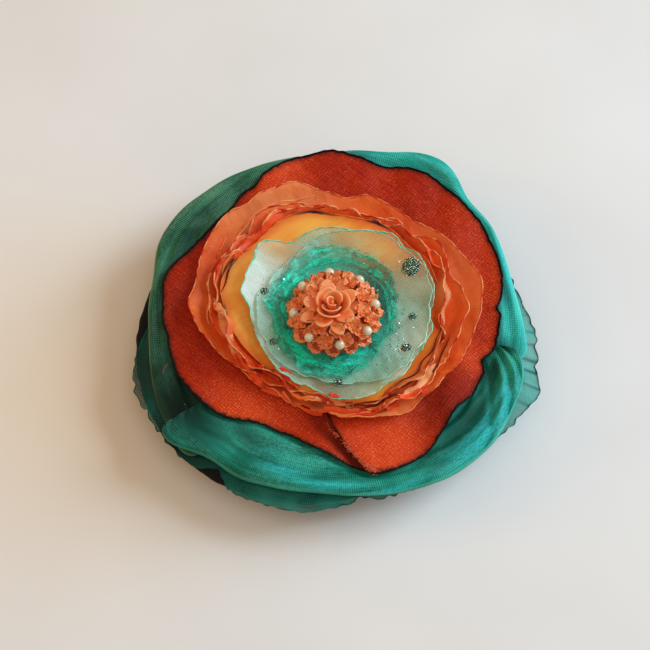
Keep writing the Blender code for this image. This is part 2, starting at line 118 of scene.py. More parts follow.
def field(x, y, seed, length, count=16):
    """Irregular bumps in the plane, about length mm apart, mostly -1 to 1."""
    rng = np.random.default_rng(seed)
    total = np.zeros_like(np.asarray(x, float))
    power = 0.0
    for _ in range(count):
        heading = rng.uniform(0.0, TAU)
        wave = length * rng.uniform(0.7, 1.6)
        size = rng.uniform(0.5, 1.0)
        travel = (x * math.cos(heading) + y * math.sin(heading)) / wave
        total = total + size * np.sin(TAU * travel + rng.uniform(0.0, TAU))
        power += size * size
    return 0.5 * total / math.sqrt(power / 2.0)


def away_from(angle, place):
    """How far an angle in radians is from an azimuth in degrees, -180 to 180."""
    return (np.degrees(angle) - place + 180.0) % 360.0 - 180.0


def bump_at(angle, place, half_width):
    """1 at an azimuth in degrees, falling smoothly to 0 half_width degrees away."""
    return 1.0 - step(0.0, half_width, np.abs(away_from(angle, place)))


def polar(centre, radius, angle):
    """A place in plan, from its radius and its angle in radians about a centre."""
    return centre[0] + radius * np.cos(angle), centre[1] + radius * np.sin(angle)


def polar_of(x, y, centre=PETAL_CENTRE):
    """The radius and the angle in radians of a place in plan."""
    return np.hypot(x - centre[0], y - centre[1]), np.arctan2(y - centre[1], x - centre[0])


def stack_rise(x, y):
    """How far the whole stack of layers lifts towards its back rim."""
    radius, _ = polar_of(x, y)
    facing = 0.5 + 0.5 * (y - PETAL_CENTRE[1]) / np.maximum(radius, 1e-6)
    return 4.5 * facing**2.2 * (radius / 45.0) ** 2


def common_wave(x, y):
    """A slow unevenness that every layer of the stack shares, so that neighbours stay clear."""
    return 0.45 * step(12.0, 34.0, polar_of(x, y)[0]) * field(x, y, 5, 26.0)


# ======================================================================== meshes


def spread(*values):
    """Arrays of one shape, stacked on a last axis: points from x, y and z."""
    return np.stack(np.broadcast_arrays(*values), axis=-1)


def link(name, data):
    obj = bpy.data.objects.new(name, data)
    bpy.context.scene.collection.objects.link(obj)
    return obj


def grid_object(name, points, closed, material, marks=None, uv=None):
    """A smooth sheet from rows of points in mm. Rows run outwards and columns anticlockwise."""
    rows, columns = points.shape[:2]
    index = np.arange(rows * columns).reshape(rows, columns)
    if closed:
        index = np.concatenate([index, index[:, :1]], axis=1)
    quads = np.stack([index[:-1, :-1], index[1:, :-1], index[1:, 1:], index[:-1, 1:]], axis=-1)
    mesh = bpy.data.meshes.new(name)
    mesh.from_pydata((points.reshape(-1, 3) * MM).tolist(), [], quads.reshape(-1, 4).tolist())
    for mark, values in (marks or {}).items():
        values = np.broadcast_to(values, (rows, columns)).astype(np.float32)
        mesh.attributes.new(mark, "FLOAT", "POINT").data.foreach_set("value", values.reshape(-1))
    if uv is not None:
        corners = np.empty(len(mesh.loops), np.int32)
        mesh.loops.foreach_get("vertex_index", corners)
        layer = mesh.uv_layers.new(name="weave")
        layer.data.foreach_set("uv", uv.reshape(-1, 2)[corners].astype(np.float32).reshape(-1))
    mesh.shade_smooth()
    mesh.materials.append(material)
    return link(name, mesh)


def mesh_object(name, verts, faces, materials, smooth=True, marks=None, slots=None):
    mesh = bpy.data.meshes.new(name)
    mesh.from_pydata([tuple(c * MM for c in v) for v in verts], [], faces)
    for mark, values in (marks or {}).items():
        mesh.attributes.new(mark, "FLOAT", "POINT").data.foreach_set("value", values)
    for material in materials:
        mesh.materials.append(material)
    if slots:
        mesh.polygons.foreach_set("material_index", slots)
    if smooth:
        mesh.shade_smooth()
    return link(name, mesh)


def tube_faces(start, rings, sides=6):
    """The faces of a capped tube, whose rings of points follow one another from start."""
    last = start + (rings - 1) * sides
    faces = [tuple(range(start, start + sides))[::-1], tuple(range(last, last + sides))]
    for low in range(start, last, sides):
        for corner in range(sides):
            after = (corner + 1) % sides
            faces.append((low + corner, low + after, low + sides + after, low + sides + corner))
    return faces


def patch_faces(start, lines, places):
    """The four-sided faces between lines of places, numbered from start."""
    corners = [start + line * places + place for line in range(lines - 1) for place in range(places - 1)]
    return [(a, a + 1, a + places + 1, a + places) for a in corners]


def stands_for(obj, slot, *nodes, body="flower"):
    """The piece rides on a body and takes the place of its CAD nodes."""
    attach(obj, body)
    if nodes:
        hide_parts(*nodes)
    return obj


def top_of(obj):
    """A function that gives the point and normal of the piece's upper face at a place in plan."""
    mesh = obj.data
    verts = [v.co / MM for v in mesh.vertices]
    tree = BVHTree.FromPolygons(verts, [tuple(p.vertices) for p in mesh.polygons])

    def hit(x, y):
        place, normal, _, _ = tree.ray_cast(Vector((x, y, 60.0)), Vector((0.0, 0.0, -1.0)))
        return (place, normal) if place else (None, None)

    return hit




# ======================================================================== materials


class Value:
    """A node's output, with arithmetic that adds maths nodes."""

    def __init__(self, shader, socket):
        self.shader, self.socket = shader, socket

    def __add__(self, other):
        return self.shader.math("ADD", self, other)

    def __sub__(self, other):
        return self.shader.math("SUBTRACT", self, other)

    def __rsub__(self, other):
        return self.shader.math("SUBTRACT", other, self)

    def __mul__(self, other):
        return self.shader.math("MULTIPLY", self, other)

    def sin(self):
        return self.shader.math("SINE", self)


class Shader:
    """Builds one node material."""

    def __init__(self, name):
        self.material = bpy.data.materials.new(name)
        self.material.use_nodes = True
        self.tree = self.material.node_tree
        self.tree.nodes.clear()
        self.output = self.tree.nodes.new("ShaderNodeOutputMaterial")
        self.here = self.place()

    def put(self, socket, value):
        if isinstance(value, Value):
            self.tree.links.new(value.socket, socket)
        else:
            socket.default_value = value

    def add(self, kind, settings=None, out=0, **inputs):
        """A node with the given inputs, by name or by number after an underscore, and its output."""
        node = self.tree.nodes.new(kind)
        for name, value in (settings or {}).items():
            setattr(node, name, value)
        for name, value in inputs.items():
            if value is not None:
                key = int(name[1:]) if name[1:].isdigit() else name.replace("_", " ")
                self.put(node.inputs[key], value)
        return Value(self, node.outputs[out])

    def math(self, operation, a, b=0.0, clamp=False):
        return self.add("ShaderNodeMath", {"operation": operation, "use_clamp": clamp}, _0=a, _1=b)

    def mix(self, share, a, b):
        return self.add("ShaderNodeMix", {"data_type": "RGBA"}, 2, _0=share, _6=a, _7=b)

    def place(self, turn=0.0, stretch=(1.0, 1.0, 1.0)):
        """Object position in mm, turned about Z and stretched."""
        start = self.add("ShaderNodeTexCoord", out="Object")
        turned = self.add("ShaderNodeMapping", Vector=start, Rotation=(0.0, 0.0, math.radians(turn)))
        return self.add("ShaderNodeMapping", Vector=turned, Scale=tuple(s / MM for s in stretch))

    def uv(self, stretch=(1.0, 1.0, 1.0)):
        start = self.add("ShaderNodeUVMap", {"uv_map": "weave"})
        return self.add("ShaderNodeMapping", Vector=start, Scale=stretch)

    def noise(self, scale, detail=3.0, roughness=0.55, distortion=0.0, at=None):
        at = at or self.here
        return self.add(
            "ShaderNodeTexNoise", Vector=at, Scale=scale, Detail=detail, Roughness=roughness, Distortion=distortion
        )

    def axes(self, vector):
        axes = self.add("ShaderNodeSeparateXYZ", Vector=vector).socket.node.outputs
        return [Value(self, axis) for axis in axes]

    def threads(self, axis, pitch, wander=0.0):
        """A wave of -1 to 1 along an axis in mm, pushed about by wander."""
        return (axis * (TAU / pitch) + wander).sin()

    def from_centre(self, centre):
        """How far a place is in X, in Y and in all from a centre in plan."""
        x, y, _ = self.axes(self.here)
        x, y = x - centre[0], y - centre[1]
        return x, y, self.math("SQRT", x * x + y * y)

    def band(self, value, low, high, to_low=0.0, to_high=1.0):
        smooth = {"interpolation_type": "SMOOTHSTEP"}
        return self.add("ShaderNodeMapRange", smooth, _0=value, _1=low, _2=high, _3=to_low, _4=to_high)

    def mark(self, name):
        return self.add("ShaderNodeAttribute", {"attribute_name": name}, "Fac")

    def bump(self, height, distance, strength=1.0, after=None):
        return self.add("ShaderNodeBump", Height=height, Distance=distance * MM, Strength=strength, Normal=after)

    def done(self, colour, roughness, normal=None, alpha=None, **fixed):
        """Ends the material with one surface."""
        surface = self.add(
            "ShaderNodeBsdfPrincipled", Base_Color=colour, Roughness=roughness, Normal=normal, Alpha=alpha, **fixed
        )
        self.put(self.output.inputs["Surface"], surface)
        return self.material


def organza(
    name, turn, pale, deep, rim_colour, rim_dark, opacity, rim_width,
    pitch=0.42, gloss=0.42, weave_share=0.24, lit=None, open_weave=0.1, painted_shade_depth=0.22,
):
    """Sheer woven fabric with a melted rim.

    Marks: rim is the distance from the cut edge in mm; shade is painted shade, the lightening mark is painted light,
    and clear thins the cloth.
    """
    s = Shader(name)
    lit = lit or pale
    place = s.place(turn)
    x, y, _ = s.axes(place)
    wander = s.noise(0.35, 2.0, at=place) * 9.0
    weave = s.threads(x, pitch, wander) * 0.25 + s.threads(y, pitch, wander) * 0.25 + 0.5
    slow = s.noise(0.09, 4.0, 0.6, at=place)
    rim, shade = s.mark("rim"), s.mark("shade")
    fine, broad = s.noise(1.6), s.noise(0.14)
    colour = s.mix(s.band(weave * weave_share + slow * 0.42 + broad * 0.7, 0.34, 0.9), deep, pale)
    # Painted light toward the lit colour, then painted shade toward a darker copy of deep.
    colour = s.mix(s.mark("painted_light"), colour, lit)
    colour = s.mix(shade, colour, (*(painted_shade_depth * c for c in deep[:3]), 1.0))
    melted = s.band(rim + fine * -rim_width, rim_width * 0.5, -rim_width * 0.35)
    patchy = s.band(s.noise(0.3), 0.42, 0.58)
    soften = melted * s.band(s.noise(0.45, 2.0), 0.35, 0.6, 0.35, 1.0)
    colour = s.mix(soften, colour, s.mix(patchy, rim_dark, rim_colour))
    thick = weave * open_weave + broad * 0.36 + (opacity - 0.18 - 0.5 * open_weave)
    alpha = s.math("MAXIMUM", thick + shade * 0.2 - s.mark("clear"), melted, True)
    crinkle = s.noise(0.42, 4.0, 0.6, 1.2)
    # Painted glints: crinkled spots lightened toward the lit colour, weaker in painted shade.
    glint = s.band(crinkle * s.noise(1.0, at=s.place(turn, (0.7, 3.0, 1.0))), 0.3, 0.42)
    colour = s.mix(glint * s.band(shade, 0.6, 0.1, 0.05, 0.3), colour, lit)
    height = weave * s.band(rim, 0.0, 0.6, 0.0, 0.5) + fine * 0.7
    normal = s.bump(height, 0.1, 0.6, s.bump(crinkle, 0.5, 0.5))
    return s.done(colour, gloss, normal, alpha, Specular_IOR_Level=0.26, Sheen_Weight=0.02, Sheen_Roughness=0.4)


def ribbed_organza(name, pale, deep, fold, shot_sheen, sheen_share):
    """Doubled organza: fine ribs across the strip, with painted sheen, painted highlights along its fold and in glint
    dots, painted light in a second shot colour, and painted shade.
    """
    s = Shader(name)
    uv = s.uv()
    u, v, _ = s.axes(uv)
    wander = s.noise(0.12, 2.0, at=uv) * 14.0
    rib = s.threads(u, 0.5, wander) * 0.34 + s.threads(v, 0.56, wander) * 0.16 + 0.5
    patchy = s.band(s.noise(0.11), 0.38, 0.62)
    # Glint dots: painted highlights where the ribs cross.
    glint_dots = s.band(rib, 0.52, 0.9) * s.band(patchy, 0.0, 1.0, 0.2, 0.6)
    rib = rib * s.band(patchy, 0.0, 1.0, 0.4, 1.0)
    grain = s.noise(1.0, 4.0, 0.7, at=s.uv((0.9, 2.6, 1.0)))
    streak = s.noise(1.0, 4.0, at=s.uv((0.045, 0.34, 1.0)))
    slow = s.noise(0.05)
    colour = s.mix(s.band(rib * 0.18 + streak * 0.55 + grain * 0.3 + slow * 0.4, 0.48, 0.94), deep, pale)
    # Painted sheen patches toward the fold colour, a highlight colour; painted light in the shot colour; a painted
    # highlight along the fold; glint dots; painted shade.
    sheen = s.band(s.noise(1.0, at=s.uv((0.03, 0.12, 1.0))), 0.46, 0.66)
    colour = s.mix(sheen * s.band(grain, 0.42, 0.6, 0.25, 1.0) * sheen_share, colour, fold)
    colour = s.mix(s.mark("painted_light") * s.band(grain, 0.35, 0.6, 0.4, 1.0), colour, shot_sheen)
    colour = s.mix(s.band(s.mark("fold"), 0.82, 1.0, 0.0, 0.4), colour, fold)
    colour = s.mix(glint_dots * s.band(slow, 0.35, 0.65, 0.5, 1.0), colour, fold)
    colour = s.mix(s.mark("shade"), colour, srgb(1, 20, 12))
    normal = s.bump(rib, 0.08, 0.8, s.bump(streak, 0.7, 0.7))
    roughness = s.band(slow, 0.3, 0.7, 0.42, 0.56)
    return s.done(colour, roughness, normal, Specular_IOR_Level=0.14, Sheen_Weight=0.01, Sheen_Roughness=0.35)


def dupioni(name):
    """Slubbed rust silk with a singed edge."""
    s = Shader(name)
    turn = 38.0
    place = s.place(turn)
    x, y, _ = s.axes(place)
    wander = s.noise(0.5, at=place) * 9.0
    thread = s.threads(x, 0.78, wander) * 0.2 + s.threads(y, 0.62, wander) * 0.3 + 0.5
    slub_x = s.noise(1.0, 4.0, 0.68, at=s.place(turn, (0.12, 2.0, 1.0)))
    slub_y = s.noise(1.0, 4.0, 0.68, at=s.place(turn, (2.2, 0.16, 1.0)))
    slow, fine = s.noise(0.06), s.noise(0.9, 4.0, 0.7)
    # The painted light mark also brings out the weave and the bright flecks.
    rim, painted_light = s.mark("rim"), s.mark("painted_light")
    tone = thread * s.band(painted_light, 0.0, 0.8, 0.1, 0.24) + slub_x * 0.56 + slub_y * 0.4 + slow * 0.45
    colour = s.mix(s.band(tone, 0.5, 1.12), srgb(138, 9, 0), srgb(214, 52, 9))
    speck = s.noise(1.0, 3.0, 0.7, at=s.place(turn, (1.7, 3.2, 1.0))) + slow * 0.25
    speck = s.band(speck, 0.6, 0.82) * s.band(thread, 0.3, 0.8, 0.35, 1.2)
    colour = s.mix(s.math("MULTIPLY", speck, painted_light + 0.3, True), colour, srgb(248, 128, 66))
    # Painted light, then painted shade in the fold beside the dart and on two sides.
    colour = s.mix(painted_light * 0.55, colour, srgb(232, 76, 28))
    colour = s.mix(s.mark("shade"), colour, srgb(84, 4, 0))
    colour = s.mix(s.band(rim + fine * -2.2, 0.7, -0.8, 0.0, 0.6), colour, srgb(84, 22, 10))
    colour = s.mix(s.band(rim + fine * -0.9, 0.12, -0.2), colour, srgb(22, 12, 9))
    normal = s.bump(thread * 0.6 + slub_x * 1.1 + slub_y * 0.8, 0.16, 0.8)
    return s.done(colour, 0.58, normal, Specular_IOR_Level=0.14)


def satin(name):
    """Smooth gold satin with a purple-dark singed rim in places."""
    s = Shader(name)
    turn = 52.0
    x, _, _ = s.axes(s.place(turn))
    thread = s.threads(x, 0.4) * 0.5 + 0.5
    long = s.noise(1.0, 4.0, 0.6, at=s.place(turn, (0.5, 0.05, 1.0)))
    rim = s.mark("rim")
    tone = s.band(long * 0.5 + s.noise(0.07, 2.0) * 0.6, 0.3, 0.8)
    colour = s.mix(tone, srgb(248, 126, 28), srgb(253, 186, 76))
    colour = s.mix(s.band(rim, 2.6, 0.3, 0.0, 0.55), colour, srgb(228, 78, 12))
    # Painted shade, mostly on the right side.
    colour = s.mix(s.mark("shade"), colour, srgb(226, 60, 4))
    char = s.band(rim + s.noise(0.8) * -0.7, 0.3, 0.0) * s.mark("singe")
    colour = s.mix(char, colour, srgb(52, 14, 20))
    normal = s.bump(thread * 0.2 + long, 0.08, 0.5)
    return s.done(colour, 0.42, normal, Specular_IOR_Level=0.35, Sheen_Weight=0.04, Sheen_Roughness=0.4)


def net(name, centre, turn, opacity):
    """Fine emerald net, fairly clear, with bright strands bunched along its rim."""
    s = Shader(name)
    place = s.place(turn)
    x, y, _ = s.axes(place)
    mesh_size = 0.6
    wander = s.noise(0.3, at=place) * 8.0
    warp, weft = (s.math("ABSOLUTE", s.threads(axis, 2.0 * mesh_size, wander)) for axis in (x, y))
    thread = s.math("MAXIMUM", warp, weft)
    px, py, distance = s.from_centre(centre)
    bearing = s.math("ARCTAN2", py, px)
    around_centre = s.add(
        "ShaderNodeCombineXYZ", _0=s.math("COSINE", bearing) * 1.6, _1=bearing.sin() * 1.6, _2=distance * 0.75
    )
    strand = s.noise(1.0, 6.0, 0.68, 0.9, at=around_centre)
    rim = s.mark("rim")
    near_rim = s.band(rim, 4.2, 0.6)
    calm = s.band((bearing - 0.1).sin(), 0.1, 0.75) * (1.0 - near_rim)
    dense = s.band(strand + near_rim * 0.1 - calm * 0.13, 0.54, 0.66)
    colour = s.mix(s.band(s.noise(0.3, 4.0), 0.38, 0.62), srgb(0, 176, 148), srgb(66, 244, 214))
    colour = s.mix(calm * 0.6, colour, srgb(100, 214, 184))
    colour = s.mix(dense, colour, srgb(20, 255, 210))
    patch = s.band(s.noise(0.24, 3.0, 0.7), 0.54, 0.66, 0.0, 0.85)
    colour = s.mix(patch * (1.0 - calm), colour, srgb(0, 62, 44))
    east = s.band(s.math("COSINE", bearing - 0.5), 0.62, 0.95, 0.0, 0.75)
    colour = s.mix(east * s.band(dense, 1.0, 0.0), colour, srgb(24, 52, 34))
    cover = s.band(thread, 0.7, 0.98) * 0.12 + opacity + dense * 0.55 + calm * -0.06
    alpha = s.math("MULTIPLY", cover, s.band(rim + strand * -3.0, -1.5, -0.6, 0.3, 1.0), True)
    normal = s.bump(thread * 0.4 + strand, 0.3, 0.8)
    return s.done(colour, 0.42, normal, alpha, Specular_IOR_Level=0.35, Sheen_Weight=0.05)


def plain(name, low, high, roughness, scale, relief, **fixed):
    """A solid material whose colour and relief wander with fine noise."""
    s = Shader(name)
    fine = s.noise(scale, 5.0, 0.65)
    colour = s.mix(s.band(fine * 0.6 + s.noise(scale * 0.12) * 0.5, 0.3, 0.8), low, high)
    rough = s.band(fine, 0.3, 0.7, roughness - 0.05, roughness + 0.08)
    return s.done(colour, rough, s.bump(fine, relief, 0.7), **fixed)


def brushed_steel(name, low, high):
    """Nickel-plated sheet with long fine brush marks along X."""
    s = Shader(name)
    long = s.noise(1.0, 4.0, 0.6, at=s.place(0.0, (0.15, 6.0, 6.0)))
    slow = s.noise(0.2)
    colour = s.mix(s.band(long * 0.6 + slow * 0.5, 0.3, 0.8), low, high)
    return s.done(colour, s.band(slow, 0.3, 0.7, 0.22, 0.38), s.bump(long, 0.03, 0.5), Metallic=1.0)


def resin(name):
    """Moulded coral resin: glossy, paler on thin edges and petal tips as painted light, and darker in hollows as
    painted shade.
    """
    s = Shader(name)
    fine = s.noise(0.9, 4.0)
    crest_light_and_shade = s.mark("crest")
    colour = s.mix(s.band(fine * 0.4 + s.noise(0.13, 2.0) * 0.7, 0.3, 0.8), srgb(252, 110, 42), srgb(255, 154, 86))
    # Painted light on high crests, painted shade on low ones.
    colour = s.mix(s.band(crest_light_and_shade, 0.35, 1.0, 0.0, 0.6), colour, srgb(255, 172, 114))
    colour = s.mix(s.band(crest_light_and_shade, 0.2, 0.0, 0.0, 0.85), colour, srgb(150, 34, 6))
    return s.done(
        colour, 0.3, s.bump(fine, 0.06, 0.5),
        Subsurface_Weight=0.06, Subsurface_Radius=(1.0, 0.3, 0.08), Subsurface_Scale=0.0008,
        Specular_IOR_Level=0.4, Coat_Weight=0.25, Coat_Roughness=0.14,
    )


def flakes(name):
    """Glitter foil: each flake keeps one tone, from dark green to bright silver."""
    s = Shader(name)
    tone = s.mark("tone")
    colour = s.mix(s.band(tone, 0.0, 0.55), srgb(12, 60, 42), srgb(120, 190, 160))
    colour = s.mix(s.band(tone, 0.55, 0.75), colour, srgb(250, 255, 252))
    return s.done(colour, s.band(s.noise(8.0, 2.0), 0.3, 0.7, 0.12, 0.3), Metallic=0.9)


# ======================================================================== fabric layers

# A layer's radii are its rim at equal steps of azimuth from +X. Its other tables hold:
# notches (azimuth, half width, depth), ragged (seed, fewest crests, most crests, size),
# ruffles (seed, fewest crests, most crests, lift, reach, start), wrinkles (seed, length, size),
# folds (azimuth, half width, start, lift, reach), pleats (count, sway, size, start),
# melted (azimuth, half width, thicker by), singed (azimuth, half width), and
# shade (painted shade), painted light and clear (azimuth, half width, start, strength). Starts are shares of the rim
# radius.


def rim_of(layer, angle):
    """Rim radius of a layer: its cut outline with every notch and irregularity."""
    radius = around(layer["radii"], angle) * layer.get("scale", 1.0)
    for place, half_width, painted_shade_depth in layer.get("notches", ()):
        radius = radius - painted_shade_depth * bump_at(angle, place, half_width)
    for seed, first, last, size in layer["ragged"]:
        radius = radius + size * ring_wave(angle, seed, first, last)
    return radius


def base_height(layer, x, y):
    """Height of a layer's middle surface, before its ruffles."""
    beyond = np.maximum(0.0, polar_of(x, y, layer["centre"])[0] - layer.get("flat", 9.0))
    return layer["middle"] + layer["thickness"] / 2 + stack_rise(x, y) + layer.get("cup", 0.0) * beyond**2


def outward_shares(inner, rows):
    """Row positions from the inner share to the rim, closer together near the rim."""
    even = np.linspace(0.0, 1.0, rows)
    return (inner + (1.0 - inner) * (1.0 - (1.0 - even) ** 1.5))[:, None]


def melted_bead(layer, centre, radius, angle, z):
    """The rows of a rolled rim that carries on from the last row of a layer."""
    size = layer["bead"] * (1.0 + 0.35 * ring_wave(angle, 77, 30, 70))
    for place, half_width, extra in layer.get("melted", ()):
        size = size + extra * bump_at(angle, place, half_width)
    curl = np.linspace(0.0, 1.55 * math.pi, 7)[1:, None]
    slope = np.clip((z[-1:] - z[-3:-2]) / np.maximum(radius[-1:] - radius[-3:-2], 1e-3), -1.5, 1.5)
    norm = np.sqrt(1.0 + slope**2)
    out, up = size * np.sin(curl), size * (1.0 - np.cos(curl))
    bead_x, bead_y = polar(centre, radius[-1:] + out / norm - up * slope / norm, angle)
    return spread(bead_x, bead_y, z[-1:] + out * slope / norm + up / norm)


def layer_object(layer):
    """One cut disc of fabric with its ruffles and its melted rim."""
    angle = np.linspace(0.0, TAU, layer.get("columns", 540), endpoint=False)[None, :]
    share = outward_shares(layer.get("inner", 0.1), 64)
    rim = rim_of(layer, angle)
    radius = share * rim
    rise = np.zeros_like(radius)
    for seed, first, last, lift, reach, start in layer["ruffles"]:
        ramp = step(start, 1.0, share)
        rise = rise + lift * ramp * ring_wave(angle, seed, first, last)
        radius = radius + reach * ramp * ring_wave(angle, seed + 50, first, last)
    for place, half_width, start, lift, reach in layer.get("folds", ()):
        swell = bump_at(angle, place, half_width) * step(start, 1.0, share)
        rise = rise + lift * swell
        radius = radius + reach * swell
    rise = rise + layer.get("lip", 0.0) * step(0.9, 1.0, share)
    x, y = polar(layer["centre"], radius, angle)
    for seed, length, size in layer["wrinkles"]:
        rise = rise + size * step(0.15, 0.6, share) * field(x, y, seed, length)
    for count, sway, size, start in layer.get("pleats", ()):
        drift = sway * ring_wave(angle, 90 + count, 2, 5)
        rise = rise + size * step(start, 1.0, share) * np.cos(count * angle + drift)
    z = base_height(layer, x, y) + common_wave(x, y) + rise
    if "floor" in layer:
        over_felt = step(FELT_RADIUS + 1.6, FELT_RADIUS + 0.3, polar_of(x, y, FELT_CENTRE)[0])
        z = np.maximum(z, layer["floor"] * over_felt)
    bead = melted_bead(layer, layer["centre"], radius, angle, z)
    points = np.concatenate([spread(x, y, z), bead])
    out = np.concatenate([share, np.ones((len(bead), 1))])
    marks = {"rim": rim * (1.0 - out), "singe": np.zeros_like(angle)}
    for place, half_width in layer.get("singed", ()):
        marks["singe"] = np.maximum(marks["singe"], bump_at(angle, place, half_width))
    # Marks of painted shade and painted light, and of clearer cloth.
    for mark in ("shade", "painted_light", "clear"):
        marks[mark] = np.zeros_like(out * angle)
        for place, half_width, start, most in layer.get(mark, ()):
            amount = most * bump_at(angle, place, half_width) * step(start - 0.15, start + 0.15, out)
            marks[mark] = np.maximum(marks[mark], amount)
    layer["area"] = float(np.mean(rim**2) * math.pi) * MM * MM
    layer["across"] = 2.0 * float(rim.mean()) * MM
    obj = grid_object(layer["name"], points, True, layer["material"], marks)
    return stands_for(obj, layer["slot"], layer["node"])


FRILL = {
    "name": "frill_cloth",
    "slot": "teal_organza",
    "node": "organza_frill",
    "centre": PETAL_CENTRE,
    "material": organza(
        "frill_organza", 8.0, srgb(40, 156, 138), srgb(4, 92, 78), srgb(0, 116, 98), srgb(0, 68, 56), 0.84, 0.4,
        pitch=0.52, gloss=0.6, lit=srgb(48, 176, 162), open_weave=0.26, painted_shade_depth=0.14,
    ),
    "radii": (
        48.9, 45.4, 44.6, 45.0, 45.0, 45.0, 45.5, 45.0, 44.5, 44.0, 44.0, 43.5,
        45.6, 51.0, 51.8, 51.2, 51.0, 50.8, 48.8, 47.6, 48.2, 48.8, 51.4, 51.6,
    ),
    "notches": (
        (278.0, 5.0, 1.3), (235.0, 6.0, 2.6), (208.0, 3.0, 0.6), (352.0, 3.0, 0.7), (346.0, 2.0, 0.5),
        (338.4, 7.0, -1.6),
    ),
    "ragged": ((11, 8, 20, 0.35), (12, 50, 130, 0.26)),
    # Painted shade: wide on the left, and thin lines in the creases on the right; painted light on the right.
    "shade": (
        (196.0, 34.0, 0.45, 0.9), (222.0, 34.0, 0.5, 0.92), (178.0, 14.0, 0.5, 0.6), (250.0, 30.0, 0.5, 0.35),
        (268.0, 14.0, 0.5, 0.35), (352.5, 0.9, 0.93, 0.8), (347.6, 1.0, 0.9, 0.9), (344.0, 1.0, 0.9, 0.9),
        (339.6, 0.8, 0.9, 0.8), (334.0, 0.9, 0.93, 0.6), (356.5, 0.8, 0.94, 0.6), (2.0, 0.7, 0.94, 0.5),
    ),
    "painted_light": ((350.0, 34.0, 0.5, 0.8),),
    "clear": ((346.0, 30.0, 0.8, 0.06), (204.0, 28.0, 1.04, 0.8)),
    "middle": 10.15,
    "thickness": 0.2,
    "ruffles": ((13, 5, 11, 0.4, 0.0, 0.86), (14, 18, 34, 0.25, 0.0, 0.88)),
    "wrinkles": ((15, 9.0, 0.08),),
    "pleats": ((46, 2.0, 0.1, 0.8), (118, 3.0, 0.04, 0.8)),
    "lip": -0.9,
    "floor": 10.16,
    "bead": 0.12,
    "inner": 0.2,
    "columns": 1080,
}
RUST_RADII = (
    41.0, 43.0, 44.5, 44.7, 45.0, 43.2, 45.2, 44.2, 41.5, 39.0, 39.5, 43.0,
    42.4, 41.5, 40.7, 38.0, 33.8, 34.2, 38.0, 43.0, 42.7, 39.2, 39.4, 40.0,
)
ORANGE = {"slot": "orange_organza", "centre": PETAL_CENTRE, "thickness": 0.3}
ORANGE_LOWER = ORANGE | {
    "name": "orange_cloth_lower",
    "node": "orange_organza_lower",
    "material": organza(
        "orange_organza_lower", 15.0, srgb(252, 116, 40), srgb(238, 54, 4), srgb(255, 160, 104), srgb(214, 48, 6),
        0.8, 0.34, lit=srgb(255, 154, 86),
    ),
    "radii": (
        35.8, 36.2, 34.6, 32.8, 31.6, 32.5, 31.8, 35.6, 36.0, 36.7, 37.0, 35.3,
        35.4, 32.0, 28.4, 27.0, 26.3, 26.7, 28.0, 30.0, 31.8, 31.8, 32.5, 34.0,
    ),
    "ragged": ((21, 10, 26, 0.45), (22, 60, 110, 0.1)),
    "middle": 14.4,
    "cup": 0.0015,
    "ruffles": ((23, 5, 11, 0.7, 0.2, 0.86), (24, 18, 34, 0.25, 0.15, 0.9)),
    "folds": (
        (112.0, 26.0, 0.85, 0.5, 0.5), (330.0, 22.0, 0.85, 0.8, 0.3), (10.0, 16.0, 0.84, 0.9, 0.4),
        (282.0, 30.0, 0.86, 0.9, 0.2),
    ),
    "wrinkles": ((25, 6.0, 0.14), (26, 2.6, 0.05)),
    "lip": 0.8,
    "bead": 0.13,
    "painted_light": ((280.0, 50.0, 0.75, 1.0), (116.0, 44.0, 0.7, 1.0), (170.0, 24.0, 0.75, 0.2), (20.0, 50.0, 0.75, 0.5)),
    "clear": ((116.0, 34.0, 0.8, 0.14), (30.0, 20.0, 0.8, 0.12)),
}
ORANGE_MIDDLE = ORANGE | {
    "name": "orange_cloth_middle",
    "node": "orange_organza_middle",
    "material": organza(
        "orange_organza_middle", 40.0, srgb(255, 106, 36), srgb(236, 48, 4), srgb(255, 166, 108), srgb(200, 32, 4),
        0.88, 0.4, lit=srgb(255, 136, 66),
    ),
    "radii": (
        31.9, 31.2, 31.2, 29.0, 27.8, 26.6, 28.0, 29.4, 31.4, 30.4, 31.4, 31.0,
        31.0, 29.0, 27.4, 25.8, 25.2, 25.4, 26.0, 28.2, 29.6, 30.2, 30.0, 31.2,
    ),
    "ragged": ((31, 7, 20, 0.7), (32, 60, 110, 0.1)),
    "middle": 15.1,
    "cup": 0.0021,
    "ruffles": ((33, 5, 11, 0.9, 0.3, 0.84), (34, 14, 30, 0.3, 0.45, 0.88)),
    "folds": (
        (22.0, 14.0, 0.82, 1.1, -0.6), (150.0, 18.0, 0.8, 1.2, -0.5), (300.0, 24.0, 0.84, 0.9, 0.4),
        (256.0, 16.0, 0.84, 0.8, 0.2),
    ),
    "wrinkles": ((35, 6.0, 0.12), (36, 2.2, 0.06)),
    "lip": 1.3,
    "bead": 0.17,
    "painted_light": ((268.0, 50.0, 0.76, 0.9), (330.0, 30.0, 0.8, 0.7), (10.0, 20.0, 0.8, 0.4), (120.0, 20.0, 0.85, 0.6)),
    "shade": ((160.0, 34.0, 0.78, 0.25), (215.0, 14.0, 0.8, 0.25)),
}
